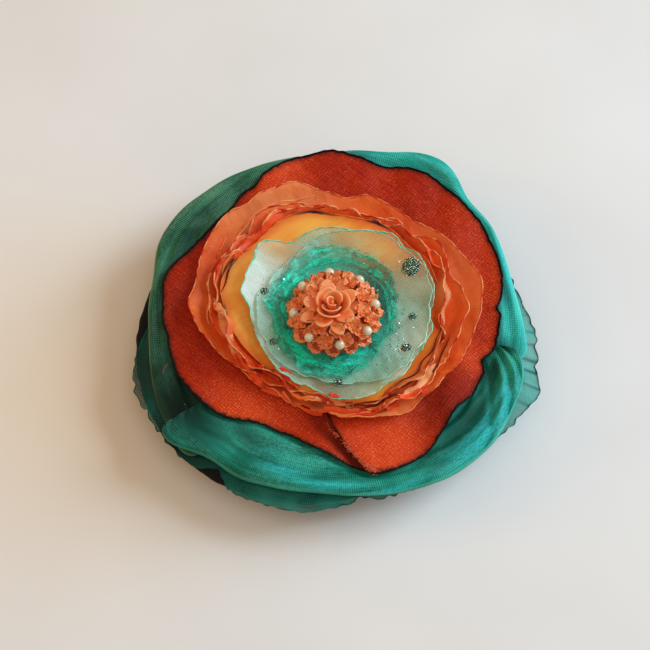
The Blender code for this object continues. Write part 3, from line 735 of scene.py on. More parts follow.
ORANGE_UPPER = ORANGE | {
    "name": "orange_cloth_upper",
    "node": "orange_organza_upper",
    "material": organza(
        "orange_organza_upper", 70.0, srgb(255, 98, 32), srgb(232, 44, 4), srgb(255, 172, 112), srgb(206, 32, 4),
        0.92, 0.42, lit=srgb(255, 150, 84),
    ),
    "radii": (
        26.8, 28.6, 28.6, 27.4, 26.4, 25.4, 27.2, 28.2, 29.2, 28.2, 29.3, 29.9,
        29.2, 27.4, 26.8, 24.4, 23.6, 24.4, 25.0, 26.6, 27.6, 28.0, 27.8, 26.4,
    ),
    "ragged": ((41, 7, 18, 0.8), (42, 60, 110, 0.1)),
    "middle": 15.8,
    "cup": 0.0032,
    "ruffles": ((43, 5, 10, 0.9, 0.35, 0.82), (44, 14, 30, 0.35, 0.55, 0.86)),
    "folds": (
        (8.0, 12.0, 0.8, 1.5, -0.8), (190.0, 13.0, 0.8, 1.6, -0.9), (128.0, 14.0, 0.8, 1.2, -0.7),
        (312.0, 14.0, 0.8, 1.3, 0.3),
    ),
    "wrinkles": ((45, 6.0, 0.1), (46, 2.0, 0.06)),
    "lip": 1.5,
    "bead": 0.2,
    "painted_light": ((8.0, 14.0, 0.84, 0.9), (262.0, 36.0, 0.8, 0.8), (312.0, 18.0, 0.84, 0.9), (190.0, 10.0, 0.84, 0.8)),
    "shade": ((340.0, 16.0, 0.8, 0.5), (165.0, 20.0, 0.8, 0.4), (225.0, 16.0, 0.8, 0.4), (55.0, 26.0, 0.8, 0.35)),
}
GOLD = {
    "name": "gold_cloth",
    "slot": "gold_satin",
    "node": "gold_satin_layer",
    "centre": GOLD_CENTRE,
    "material": satin("gold_satin_cloth"),
    "radii": (
        26.0, 26.5, 27.0, 26.3, 27.3, 26.7, 27.4, 28.8, 28.6, 27.4, 29.0, 28.6,
        26.8, 24.4, 22.7, 21.3, 21.2, 22.6, 24.0, 24.6, 25.4, 25.8, 26.4, 26.4,
    ),
    "ragged": ((51, 9, 22, 0.2),),
    "middle": 16.5,
    "thickness": 0.3,
    "cup": 0.005,
    "ruffles": ((53, 4, 8, 0.35, 0.0, 0.7),),
    "wrinkles": ((55, 14.0, 0.18),),
    "bead": 0.16,
    "shade": ((10.0, 60.0, 0.8, 0.75), (330.0, 40.0, 0.8, 0.6), (265.0, 30.0, 0.84, 0.4), (60.0, 26.0, 0.86, 0.4)),
    "singed": ((150.0, 13.0), (100.0, 16.0), (66.0, 10.0), (180.0, 8.0), (318.0, 22.0)),
}
MINT = {"slot": "mint_organza", "centre": MINT_CENTRE, "thickness": 0.25}
MINT_LOWER = MINT | {
    "name": "mint_cloth_lower",
    "node": "mint_organza_lower",
    "material": organza(
        "mint_organza_lower", 20.0, srgb(184, 236, 212), srgb(112, 184, 154), srgb(150, 240, 200),
        srgb(110, 196, 156), 0.78, 0.4, pitch=0.55, weave_share=0.22, lit=srgb(220, 246, 232), open_weave=0.2,
    ),
    "radii": (
        23.4, 24.9, 25.4, 24.8, 24.8, 23.2, 23.2, 22.9, 22.5, 25.6, 24.0, 23.4,
        20.2, 19.7, 19.4, 19.9, 20.1, 20.2, 22.6, 23.8, 23.1, 23.2, 22.7, 23.6,
    ),
    "ragged": ((61, 12, 30, 0.3), (62, 50, 90, 0.12)),
    "middle": 17.2,
    "cup": 0.018,
    "ruffles": ((63, 5, 11, 0.4, 0.0, 0.85), (64, 16, 30, 0.15, 0.15, 0.9)),
    "wrinkles": ((65, 7.0, 0.16), (66, 3.0, 0.1)),
    "bead": 0.13,
    "melted": ((142.0, 10.0, 0.22), (172.0, 7.0, 0.16), (62.0, 5.0, 0.2), (228.0, 12.0, 0.12), (255.0, 6.0, 0.1)),
    "clear": (
        (58.0, 66.0, 0.6, 0.72), (15.0, 40.0, 0.6, 0.32), (268.0, 66.0, 0.7, 0.34), (345.0, 30.0, 0.7, 0.15),
        (126.0, 22.0, 0.62, 0.46),
    ),
    "painted_light": ((156.0, 40.0, 0.6, 1.0), (200.0, 40.0, 0.65, 0.8), (345.0, 30.0, 0.75, 0.5), (318.0, 20.0, 0.75, 0.7)),
    "shade": ((268.0, 34.0, 0.68, 0.5),),
}
MINT_UPPER = MINT | {
    "name": "mint_cloth_upper",
    "node": "mint_organza_upper",
    "material": organza(
        "mint_organza_upper", 55.0, srgb(170, 230, 208), srgb(98, 182, 154), srgb(180, 244, 218),
        srgb(140, 212, 180), 0.6, 0.32, pitch=0.6, weave_share=0.24, lit=srgb(212, 252, 238), open_weave=0.2,
    ),
    "radii": (
        22.9, 24.3, 24.6, 24.0, 24.0, 22.6, 22.2, 20.6, 18.8, 18.4, 18.2, 19.4,
        18.8, 18.4, 18.2, 18.2, 17.8, 17.4, 18.2, 19.0, 20.4, 22.0, 22.0, 23.0,
    ),
    "ragged": ((71, 8, 24, 0.35), (72, 50, 90, 0.12)),
    "middle": 17.9,
    "cup": 0.0178,
    "ruffles": ((73, 5, 11, 0.3, 0.0, 0.85), (74, 16, 30, 0.15, 0.15, 0.9)),
    "wrinkles": ((75, 7.0, 0.16), (76, 3.0, 0.1)),
    "bead": 0.1,
    "melted": ((0.0, 12.0, 0.18), (338.0, 8.0, 0.14), (112.0, 10.0, 0.08), (150.0, 8.0, 0.1), (246.0, 14.0, 0.1)),
    "clear": ((60.0, 62.0, 0.55, 0.52), (120.0, 30.0, 0.7, 0.2), (280.0, 50.0, 0.7, 0.12)),
    "painted_light": ((340.0, 30.0, 0.68, 0.9), (20.0, 16.0, 0.75, 0.4), (170.0, 50.0, 0.7, 0.8), (238.0, 12.0, 0.8, 0.7)),
    "shade": ((300.0, 26.0, 0.6, 0.18), (235.0, 30.0, 0.6, 0.2)),
}
NET = {
    "slot": "teal_net",
    "centre": CABOCHON_CENTRE,
    "radii": (
        14.8, 16.1, 16.8, 18.6, 18.4, 18.8, 18.6, 18.9, 17.7, 17.1, 17.0, 17.4,
        15.4, 15.1, 15.3, 15.6, 16.5, 16.6, 16.3, 16.0, 15.2, 14.2, 13.6, 14.3,
    ),
    "thickness": 0.2,
    "flat": 10.0,
    "lip": 0.3,
    "bead": 0.08,
    "inner": 0.25,
}
NET_LOWER = NET | {
    "name": "net_cloth_lower",
    "node": "teal_net_lower",
    "material": net("net_lower", CABOCHON_CENTRE, 12.0, 0.46),
    "ragged": ((81, 9, 24, 0.5), (82, 40, 90, 0.3)),
    "middle": 18.6,
    "cup": 0.024,
    "ruffles": ((83, 7, 15, 0.25, 0.0, 0.7), (84, 20, 36, 0.12, 0.1, 0.8)),
    "wrinkles": ((85, 4.5, 0.08),),
}
NET_UPPER = NET | {
    "name": "net_cloth_upper",
    "node": "teal_net_upper",
    "material": net("net_upper", CABOCHON_CENTRE, 50.0, 0.4),
    "scale": 0.86,
    "ragged": ((86, 9, 24, 0.5), (87, 40, 90, 0.3)),
    "middle": 19.15,
    "cup": 0.026,
    "ruffles": ((88, 7, 15, 0.25, 0.0, 0.7), (89, 20, 36, 0.12, 0.1, 0.8)),
    "wrinkles": ((91, 4.5, 0.08),),
}


def rust_relief(x, y):
    """The unevenness of the rust layer at a place in plan, without its dart."""
    radius, angle = polar_of(x, y)
    outer = step(22.0, 34.0, radius)
    rise = 0.6 * outer * field(x, y, 203, 17.0) + 0.12 * field(x, y, 204, 5.0) * outer
    return rise + 0.6 * step(0.78, 1.0, radius / around(RUST_RADII, angle)) * ring_wave(angle, 205, 7, 14)


def rust_underside(x, y):
    """The level part of the underside of the rust layer."""
    return RUST_BOTTOM + stack_rise(x, y) + common_wave(x, y)


def rust_ceiling(x, y):
    """The highest that a strip may reach: close under the rust layer, and free beyond its rim."""
    radius, angle = polar_of(x, y)
    free = step(0.3, 4.5, radius - around(RUST_RADII, angle))
    dart = 0.8 * bump_at(angle, DART_AZIMUTH + 3.0, 22.0)
    return rust_underside(x, y) + rust_relief(x, y) - dart - 0.3 + 3.5 * free


def rust_object(material):
    """The rust layer: cut to its middle at the front, with one end lapped over the other in a dart."""
    lap = 13.0
    to_start = np.linspace(0.0, 1.0, 660)[None, :] * (360.0 + lap)
    to_end = (360.0 + lap) - to_start
    share = outward_shares(0.1, 72)
    border = DART_AZIMUTH + DART_SLANT * np.maximum(0.0, 40.0 * share - DART_START)
    angle = np.radians(border + to_start)
    rim = around(RUST_RADII, angle)
    for place, half_width, painted_shade_depth in ((2.0, 3.5, 1.0), (341.0, 5.0, 1.6), (188.0, 6.0, 0.6), (120.0, 5.0, 0.8)):
        rim = rim - painted_shade_depth * bump_at(angle, place, half_width)
    rim = rim + 0.22 * ring_wave(angle, 201, 14, 32) + 0.1 * ring_wave(angle, 202, 60, 120)
    rim = rim + 1.0 * (1.0 - step(0.0, 8.0, to_start)) - 0.5 * (1.0 - step(0.0, 12.0, to_end))
    radius = share * rim
    x, y = polar(PETAL_CENTRE, radius, angle)
    outer = step(22.0, 34.0, radius)
    rise = rust_relief(x, y) + outer * (1.0 - step(0.0, 16.0, to_start))
    rise = rise - outer * 0.75 * (1.0 - step(10.0, 24.0, to_end))
    z = rust_underside(x, y) + RUST_THICKNESS / 2 + rise
    from_rim = np.minimum(rim * (1.0 - share), 60.0)
    from_cut = radius * np.radians(to_start) + 0.05
    from_rim = np.where(radius > 20.0, np.minimum(from_rim, from_cut), from_rim)
    size = 0.16
    curl = np.linspace(0.0, 1.4 * math.pi, 6)[1:, None]
    bead_plan = polar(PETAL_CENTRE, radius[-1:] + size * np.sin(curl), angle[-1:])
    bead = spread(*bead_plan, z[-1:] + size * (1.0 - np.cos(curl)))
    points = np.concatenate([spread(x, y, z), bead])
    # Painted shade: a wedge in the fold beside the dart and patches on the right front and the left; painted light in
    # patches round the rim.
    wedge = np.maximum(16.0 * (44.0 - radius) / 13.0, 0.5)
    shade = 0.8 * (1.0 - step(0.5, 1.0, (to_end - lap) / wedge))
    shade = outer * np.maximum(shade, np.maximum(0.5 * bump_at(angle, 318.0, 24.0), 0.3 * bump_at(angle, 178.0, 40.0)))
    painted_light = 0.9 * step(30.0, 38.0, radius) * bump_at(angle, 112.0, 20.0)
    for place, half_width, most in ((288.0, 30.0, 1.0), (238.0, 40.0, 0.9), (20.0, 60.0, 0.4), (340.0, 10.0, 0.6)):
        painted_light = painted_light + most * outer * bump_at(angle, place, half_width)
    marks = {"rim": np.concatenate([from_rim, np.zeros(bead.shape[:2])])}
    for mark, values in (("shade", shade), ("painted_light", painted_light)):
        marks[mark] = np.concatenate([values, np.repeat(values[-1:], len(bead), axis=0)])
    area = float(np.mean(around(RUST_RADII, np.linspace(0, TAU, 360)) ** 2)) * math.pi * (360.0 + lap) / 360.0
    return grid_object("rust_cloth", points, False, material, marks), area * MM * MM


def highest(spots, angle, radius, least):
    """The strongest of several soft spots (azimuth, half width, radius, spread, strength) at each place."""
    for place, half_width, middle, reach, most in spots:
        spot = most * bump_at(angle, place, half_width) * np.exp(-(((radius - middle) / reach) ** 2))
        least = np.maximum(least, spot)
    return least


def folded_petal(
    name, node, first, last, radii, puff, lift, seed, material, ridges,
    pleats=(), dim=(), lit=(), levels=(0.0, 1.1), calm_end=0.0,
):
    """A strip folded along its outer edge, its open edges gathered at the middle of the flower.

    It runs clockwise from the first to the last azimuth. Ridges are (pitch, size, skew), pleats
    (azimuth, width, size, lean), and dim and lit are soft spots of painted shade and painted light, as in highest.
    """
    columns, rows = 480, 170
    inner, mean_radius, fold_thickness = 6.0, 46.0, 0.7
    share = np.linspace(0.0, 1.0, columns)[None, :]
    angle = np.radians(first + (last - first) * share)
    to_end = np.minimum(share, 1.0 - share)
    rim = along(radii, share) + 0.2 * ring_wave(angle, seed, 10, 24)
    rim = rim - 3.4 * (1.0 - np.sqrt(1.0 - (1.0 - np.clip(to_end / 0.05, 0.0, 1.0)) ** 2))
    # Across the strip: 0 at the lower open edge, 0.5 at the fold, 1 at the upper open edge.
    across = np.linspace(0.0, 1.0, rows)[:, None]
    upper = across >= 0.5
    out = 1.0 - (1.0 - np.where(upper, 2.0 - 2.0 * across, 2.0 * across)) ** 1.5
    fullness = 0.2 + 0.8 * step(0.0, 1.0, np.clip(to_end / 0.14, 0.0, 1.0))
    swell = puff * fullness * (0.8 + 0.25 * ring_wave(angle, seed + 5, 3, 8))
    radius = inner + (rim - inner) * out
    from_rim = rim - radius
    round_off = np.sqrt(np.clip(1.0 - np.clip(1.0 - from_rim / 2.2, 0.0, 1.0) ** 2, 0.0, 1.0))
    drift = 1.3 * ring_wave(angle, seed + 1, 2, 5)
    wave = np.zeros_like(radius)
    for number, (pitch, size, skew) in enumerate(ridges):
        phase = TAU * from_rim / pitch * (1.0 + 0.12 * ring_wave(angle, seed + 7 + number, 2, 4))
        crest = np.cos(phase + drift * (1.0 + number) + skew * TAU * share + seed)
        strength = 0.6 + 0.4 * ring_wave(angle, seed + 9 + number, 3, 7)
        wave = wave + size * crest * strength * (1.0 - calm_end * step(0.72, 0.9, share))
    for place, width, size, lean in pleats:
        wave = wave + size * np.exp(-((away_from(angle, place + lean * from_rim) / width) ** 2))
    body = fold_thickness + swell * step(16.0, 2.5, from_rim) + step(0.5, 0.75, out) * wave
    x, y = polar(PETAL_CENTRE, radius, angle)
    level = levels[0] + (levels[1] - levels[0]) * share
    bottom = 10.9 + stack_rise(x, y) * (0.75 + 0.25 * out) + level + lift * step(0.7, 1.0, out)
    bottom = bottom + 0.25 * step(0.8, 1.0, out) * ring_wave(angle, seed + 3, 5, 12)
    ceiling = rust_ceiling(x, y)
    bottom = np.minimum(bottom, ceiling - 0.5)
    top = bottom + np.maximum(body, 0.15) * round_off
    soft = 0.18
    top = -soft * np.logaddexp(-top / soft, -ceiling / soft)
    z = np.where(upper, np.maximum(top, bottom + 0.12 * round_off), bottom)
    # The weave runs on over the fold, so the upper half is measured back from beyond it.
    length, beyond = np.radians(first - last) * mean_radius, 200.0
    uv = spread(share * length, np.where(upper, beyond - radius, radius))
    # Painted shade under the rust layer and on the underside, deeper in the dim spots; painted light in the lit spots,
    # not under the rust; fold marks where a highlight is painted along the fold.
    under = step(1.5, -1.5, radius - around(RUST_RADII, angle))
    marks = {
        "fold": step(1.4, 0.2, from_rim),
        "shade": highest(dim, angle, radius, np.where(upper, 0.6 * under, 0.4)),
        "painted_light": highest(lit, angle, radius, 0.0 * radius) * (1.0 - under),
        "rim": from_rim,
    }
    marks = {mark: values[::-1, ::-1] for mark, values in marks.items()}
    obj = grid_object(name, spread(x, y, z)[::-1, ::-1], False, material, marks, uv[::-1, ::-1])
    return stands_for(obj, "teal_organza", node), length


# ======================================================================== build: fabric

felt_wool = plain(
    "black_felt_wool", srgb(6, 6, 8), srgb(22, 22, 25), 0.95, 1.6, 0.35,
    Specular_IOR_Level=0.2, Sheen_Weight=0.08, Sheen_Roughness=0.6,
)


def turned(profile, columns):
    """Angles round a turned form, with the radii and the heights of its profile."""
    radius, height = np.array(profile).T[:, :, None]
    return np.linspace(0.0, TAU, columns, endpoint=False)[None, :], radius, height


def felt_object():
    """A felt disc with softly rounded, slightly hairy edges."""
    lower = ((0.02, 8.8), (0.3, 8.8), (0.6, 8.8), (0.85, 8.8), (0.98, 8.82), (0.996, 8.95), (1.0, 9.4))
    upper = ((0.996, 9.85), (0.98, 9.98), (0.85, 10.0), (0.6, 10.0), (0.3, 10.0), (0.02, 10.0))
    angle, share, height = turned(lower + upper, 480)
    radius = share * (FELT_RADIUS + 0.18 * ring_wave(angle, 301, 20, 60))
    x, y = polar(FELT_CENTRE, radius, angle)
    z = height + 0.05 * field(x, y, 302, 2.5) * (share > 0.5)
    return grid_object("felt_disc", spread(x, y, z), True, felt_wool, {"rim": FELT_RADIUS - radius})


felt = stands_for(felt_object(), "black_felt", "felt_backing")
frill = layer_object(FRILL)
petal_left, left_length = folded_petal(
    "petal_strip_left", "teal_petal_left", 228.0, 96.0,
    (51.4, 48.6, 46.4, 46.2, 48.8, 47.8, 46.2, 45.4), 1.1, 0.1, 401,
    ribbed_organza(
        "teal_organza_left", srgb(72, 144, 108), srgb(2, 54, 34), srgb(128, 186, 152), srgb(96, 176, 156), 0.4
    ),
    ((5.0, 0.3, 0.4), (2.8, 0.14, -0.6)),
    dim=(
        (214.0, 36.0, 45.0, 9.0, 1.0), (200.0, 22.0, 43.6, 5.0, 0.6), (236.0, 24.0, 47.0, 9.0, 0.7),
        (184.0, 22.0, 44.0, 5.0, 0.55), (170.0, 30.0, 42.0, 3.0, 0.45), (140.0, 30.0, 41.0, 3.0, 0.4),
    ),
    lit=((205.0, 9.0, 42.6, 0.7, 0.4), (190.0, 9.0, 47.0, 0.6, 0.3)),
)
petal_right, right_length = folded_petal(
    "petal_strip_right", "teal_petal_right", 102.0, -15.0,
    (45.5, 46.3, 48.3, 51.8, 47.6, 47.0, 45.6, 46.6, 48.6), 1.6, 0.2, 411,
    ribbed_organza(
        "teal_organza_right", srgb(34, 198, 180), srgb(0, 118, 102), srgb(110, 228, 214), srgb(64, 218, 216), 0.5
    ),
    ((5.2, 0.4, 0.5), (2.6, 0.16, -0.4)),
    dim=((86.0, 16.0, 44.0, 5.0, 0.5), (8.0, 10.0, 42.0, 2.0, 0.5), (347.0, 7.0, 42.0, 4.0, 0.85)),
    lit=((18.0, 22.0, 45.0, 3.0, 0.5), (352.0, 12.0, 46.0, 3.0, 0.35)),
    levels=(0.0, -0.1),
)
petal_front, front_length = folded_petal(
    "petal_strip_front", "teal_petal_front", 348.5, 215.5,
    (47.6, 49.4, 50.4, 50.2, 48.6, 47.0, 46.6, 47.8, 48.4, 53.0), 1.9, 0.2, 421,
    ribbed_organza(
        "teal_organza_front", srgb(26, 164, 138), srgb(0, 80, 60), srgb(92, 212, 190), srgb(54, 212, 214), 0.45
    ),
    ((3.5, 0.36, 0.9), (2.1, 0.2, -1.3), (5.6, 0.32, 0.5)),
    pleats=(
        (319.0, 3.2, 0.75, 3.3), (331.0, 2.8, 0.75, 3.5), (313.5, 2.6, -0.7, 2.6), (325.5, 2.0, -0.7, 3.4),
        (337.0, 2.0, -0.5, 3.5),
    ),
    dim=(
        (216.0, 34.0, 43.0, 9.0, 0.92), (216.0, 18.0, 49.0, 6.0, 0.7), (318.0, 30.0, 42.2, 3.8, 0.7),
        (232.0, 26.0, 50.0, 2.4, 0.55), (236.0, 18.0, 38.5, 3.4, 0.7), (232.0, 8.0, 41.4, 0.6, 0.6),
        (230.0, 8.0, 44.6, 0.5, 0.5), (243.0, 24.0, 42.0, 0.55, 0.5), (240.0, 26.0, 45.7, 0.55, 0.5),
        (262.0, 26.0, 43.4, 0.5, 0.42), (288.0, 22.0, 44.2, 0.6, 0.42), (272.0, 22.0, 46.6, 0.4, 0.3),
        (306.0, 20.0, 45.6, 0.6, 0.35), (300.0, 34.0, 40.0, 5.0, 0.6), (338.0, 12.0, 40.5, 3.0, 0.75),
        (348.0, 3.0, 44.0, 5.0, 0.8), (246.0, 20.0, 48.3, 1.2, 0.4), (302.0, 9.0, 46.6, 1.5, 0.5),
        (226.0, 10.0, 45.0, 3.0, 0.35),
    ),
    lit=(
        (254.0, 13.0, 43.3, 1.3, 0.85), (268.0, 18.0, 45.4, 1.1, 0.8), (282.0, 28.0, 47.8, 0.9, 0.75),
        (318.0, 30.0, 47.4, 2.4, 0.75), (247.0, 5.0, 39.2, 0.9, 0.4), (331.0, 8.0, 45.7, 1.6, 0.7),
        (274.0, 9.0, 47.2, 0.5, 0.45), (286.0, 8.0, 48.4, 0.5, 0.3),
    ),
    levels=(0.9, 1.1),
    calm_end=0.5,
)
rust, rust_area = rust_object(dupioni("rust_dupioni"))
stands_for(rust, "rust_silk", "rust_petal_layer")
orange_lower, orange_middle, orange_upper, gold, mint_lower, mint_upper, net_lower, net_upper = map(
    layer_object, (ORANGE_LOWER, ORANGE_MIDDLE, ORANGE_UPPER, GOLD, MINT_LOWER, MINT_UPPER, NET_LOWER, NET_UPPER)
)


# ======================================================================== build: threads and glitter


def thread_bundle(name, paths, radius, material):
    """Many fine round threads as one mesh of six-sided tubes, thinner at their ends."""
    corner = np.linspace(0.0, TAU, 6, endpoint=False)[:, None]
    verts, faces = [], []
    for path in paths:
        path = np.asarray(path, float)
        tangent = np.gradient(path, axis=0)
        tangent /= np.linalg.norm(tangent, axis=1)[:, None] + 1e-9
        side = np.cross(tangent, (0.0, 0.0, 1.0))
        side /= np.linalg.norm(side, axis=1)[:, None] + 1e-9
        up = np.cross(side, tangent)
        faces += tube_faces(len(verts), len(path))
        for k, place in enumerate(path):
            thin = radius * (0.45 if k in (0, len(path) - 1) else 1.0)
            verts += (place + thin * (np.cos(corner) * side[k] + np.sin(corner) * up[k])).tolist()
    return mesh_object(name, verts, faces, [material])


def frayed_threads(layer, count, seed):
    """Loose threads of the net that run beside its rim, loop out and stick up a little."""
    rng = np.random.default_rng(seed)
    share = np.linspace(0.0, 1.0, 18)
    arch = np.sin(math.pi * share)
    paths = []
    for _ in range(count):
        start = rng.uniform(0.0, TAU)
        sweep = math.radians(rng.uniform(10, 44)) * rng.choice((-1.0, 1.0))
        inset = rng.uniform(-0.2, 2.4)
        bow = rng.uniform(-0.8, 0.9)
        rise = rng.uniform(0.0, 0.35)
        angle = start + sweep * share
        sway = 0.25 * np.sin(share * rng.uniform(9, 22) + start)
        x, y = polar(layer["centre"], rim_of(layer, angle) - inset + bow * arch + sway, angle)
        paths.append(spread(x, y, base_height(layer, x, y) + common_wave(x, y) + 0.22 + rise * arch))
    return paths


net_thread = plain("net_thread", srgb(0, 118, 88), srgb(40, 214, 176), 0.5, 0.8, 0.03, Sheen_Weight=0.3)
net_paths = frayed_threads(NET_LOWER, 60, 501) + frayed_threads(NET_UPPER, 46, 502)
net_fray = stands_for(thread_bundle("net_fray", net_paths, 0.055, net_thread), "teal_net")

# Ribbons of melted organza: first and last azimuth, first and last radius, width, lean in degrees,
# and material, counted from 0 in the order that orange_curls gives.
CURLS = (
    (174.0, 208.0, 29.6, 27.0, 3.4, 24.0, 1),
    (134.0, 171.0, 31.2, 30.2, 1.7, 62.0, 0),
    (138.0, 163.0, 28.8, 29.2, 1.4, 48.0, 1),
    (86.0, 122.0, 29.0, 29.4, 1.2, 58.0, 2),
    (58.0, 88.0, 27.9, 28.4, 1.1, 52.0, 0),
    (18.0, 50.0, 28.4, 28.0, 1.5, 60.0, 0),
    (-10.0, 22.0, 26.8, 29.6, 1.8, 44.0, 1),
    (303.0, 329.0, 29.8, 29.2, 3.2, 30.0, 1),
    (276.0, 318.0, 29.0, 30.8, 1.5, 66.0, 0),
    (246.0, 292.0, 26.8, 28.8, 1.8, 58.0, 0),
    (252.0, 282.0, 25.4, 26.6, 1.3, 48.0, 1),
    (204.0, 250.0, 27.2, 26.6, 1.9, 52.0, 0),
    (214.0, 240.0, 24.8, 23.6, 1.2, 62.0, 2),
    (230.0, 249.0, 23.0, 23.2, 2.8, 44.0, 2),
    (256.0, 273.0, 25.0, 25.2, 2.0, 44.0, 2),
    (300.0, 352.0, 26.2, 26.6, 0.55, 70.0, 3),
    (318.0, 346.0, 29.2, 28.8, 0.55, 70.0, 3),
    (150.0, 176.0, 27.4, 28.0, 0.7, 75.0, 3),
    (284.0, 306.0, 27.6, 28.4, 1.3, 40.0, 3),
    (116.0, 150.0, 33.6, 31.6, 0.9, 24.0, 1),
    (138.0, 170.0, 34.4, 32.0, 0.8, 28.0, 0),
    (98.0, 128.0, 32.2, 33.6, 0.7, 26.0, 1),
    (150.0, 188.0, 32.4, 31.0, 0.8, 26.0, 1),
    (124.0, 142.0, 32.4, 32.8, 0.6, 30.0, 0),
)


def orange_curls():
    """Narrow ribbons of melted organza that stand on the ruffles and fold back towards the middle."""
    peach = organza(
        "curl_organza_peach", 30.0, srgb(255, 176, 112), srgb(236, 120, 56), srgb(255, 204, 150), srgb(226, 96, 44),
        0.86, 0.3, lit=srgb(255, 206, 150),
    )
    red = organza(
        "curl_organza_red", 30.0, srgb(244, 70, 30), srgb(196, 20, 4), srgb(255, 120, 80), srgb(150, 12, 2),
        0.95, 0.3, lit=srgb(255, 130, 90),
    )
    dark = plain("scorched_organza", srgb(56, 12, 4), srgb(126, 32, 10), 0.6, 1.4, 0.1, Specular_IOR_Level=0.1)
    tops = [top_of(obj) for obj in (orange_lower, orange_middle, orange_upper, gold, mint_lower)]
    verts, faces, rims, slots = [], [], [], []
    columns, rows = 64, 9
    share, out = np.linspace(0.0, 1.0, columns), np.linspace(0.0, 1.0, rows)
    for number, (first, last, near, far, width, lean, slot) in enumerate(CURLS):
        more = patch_faces(len(verts), columns, rows)
        faces += more
        slots += [slot] * len(more)
        angle = np.radians(first + (last - first) * share)
        radius = near + (far - near) * share + 0.45 * ring_wave(angle, 520 + number, 9, 26)
        wide = width * np.clip(np.sin(math.pi * share), 0.0, 1.0) ** 0.6
        wide = wide * (1.0 + 0.25 * ring_wave(angle, 550 + number, 12, 34))
        tilt = math.radians(lean) + 0.35 * ring_wave(angle, 580 + number, 8, 22)
        for k in range(columns):
            hits = [top(*polar(PETAL_CENTRE, radius[k], angle[k]))[0] for top in tops]
            base = max((place.z for place in hits if place), default=14.5)
            inward = radius[k] - wide[k] * out * np.cos(tilt[k] - 0.9 * out) * 0.75
            up = wide[k] * (out * math.sin(tilt[k]) - 0.38 * out**2)
            verts += spread(*polar(PETAL_CENTRE, inward, angle[k]), base - 0.05 + up).tolist()
            rims += ((1.0 - out) * wide[k]).tolist()
    materials = [ORANGE_UPPER["material"], peach, red, dark]
    return mesh_object("orange_curls", verts, faces, materials, marks={"rim": rims}, slots=slots)


curls = stands_for(orange_curls(), "orange_organza")


def above(top, radius, turn, lift, aside=0.0):
    """A place just above a piece, if the piece is there."""
    x, y = polar(PETAL_CENTRE, radius, turn)
    place, _ = top(x + aside, y)
    return (x, y, place.z + lift) if place else None


def edge_fibres(edge, count, seed, longest):
    """Short loose fibres that leave a cut edge, given as places with their outward direction."""
    rng = np.random.default_rng(seed)
    share = np.linspace(0.0, 1.0, 6)
    paths = []
    for _ in range(count):
        (x, y, z), out = edge[rng.integers(len(edge))]
        reach = rng.uniform(0.35, 1.0) * longest * share
        way = out + rng.uniform(-1.0, 1.0) + rng.uniform(-1.0, 1.0) * share
        paths.append(spread(x + reach * np.cos(way), y + reach * np.sin(way), z + 0.25 * reach * (1.0 - share)))
    return paths


def rust_edges():
    """Places along the overlap of the dart and round the rim of the rust layer, with outward directions."""
    top = top_of(rust)
    lap, rim = [], []
    for radius in np.linspace(29.0, 42.5, 90):
        turn = math.radians(DART_AZIMUTH + DART_SLANT * (radius - DART_START))
        lap.append((above(top, radius, turn, 0.05, 0.3), turn - 1.4))
    for turn in np.linspace(0.0, TAU, 700, endpoint=False):
        rim.append((above(top, around(RUST_RADII, turn) - 0.7, turn, 0.05), turn))
    return ([(place, way) for place, way in edge if place] for edge in (lap, rim))


def stray_fibre():
    """One orange fibre that has come loose and lies on the left strip."""
    top = top_of(petal_left)
    steps = ((197.8, 42.4), (198.4, 43.0), (199.0, 43.6), (200.0, 44.2), (201.0, 44.6))
    places = [above(top, radius, math.radians(turn), 0.12) for turn, radius in steps]
    return [place for place in places if place]


lap_edge, rust_rim = rust_edges()
lap_fibres = edge_fibres(lap_edge, 90, 531, 1.3) + edge_fibres(lap_edge[-14:], 50, 532, 2.0) + [stray_fibre()]
rim_fibres = edge_fibres(rust_rim, 260, 533, 1.1)
stray_thread = plain("stray_thread", srgb(196, 50, 20), srgb(246, 120, 70), 0.6, 0.8, 0.03)
scorched_thread = plain("scorched_thread", srgb(14, 8, 6), srgb(90, 24, 10), 0.7, 1.6, 0.03)
rust_fray = stands_for(thread_bundle("rust_fray", lap_fibres, 0.045, stray_thread), "rust_silk")
char_fray = stands_for(thread_bundle("rust_rim_fray", rim_fibres, 0.045, scorched_thread), "rust_silk")


def flake_cloud(spots, seed, size, lift, tilt, start=0):
    """Hexagonal glitter flakes at spots (x, y, z, normal), their points numbered from start."""
    rng = np.random.default_rng(seed)
    verts, faces, tones = [], [], []
    for x, y, z, normal in spots:
        lean = (Vector(normal) + Vector(rng.normal(0.0, tilt, 3))).normalized()
        side = lean.orthogonal().normalized()
        other = lean.cross(side)
        reach = size * rng.uniform(0.6, 1.25)
        centre = Vector((x, y, z + rng.uniform(0.0, lift)))
        tones += [rng.uniform(0.0, 1.0)] * 12
        spin = rng.uniform(0.0, TAU)
        faces += tube_faces(start + len(verts), 2)
        for level in (-0.012, 0.012):
            for corner in range(6):
                turn = spin + TAU * corner / 6
                flat = side * (reach * math.cos(turn)) + other * (reach * math.sin(turn))
                verts.append(tuple(centre + flat + lean * level))
    return verts, faces, tones


# Dots of glitter glue: x, y and radius.
GLITTER_DOTS = (
    (18.4, 10.6, 2.1),
    (-17.4, 5.0, 0.9),
    (18.6, -2.2, 0.9),
    (16.8, -10.6, 1.1),
    (0.6, -19.6, 1.0),
    (-15.0, -8.6, 1.0),
)
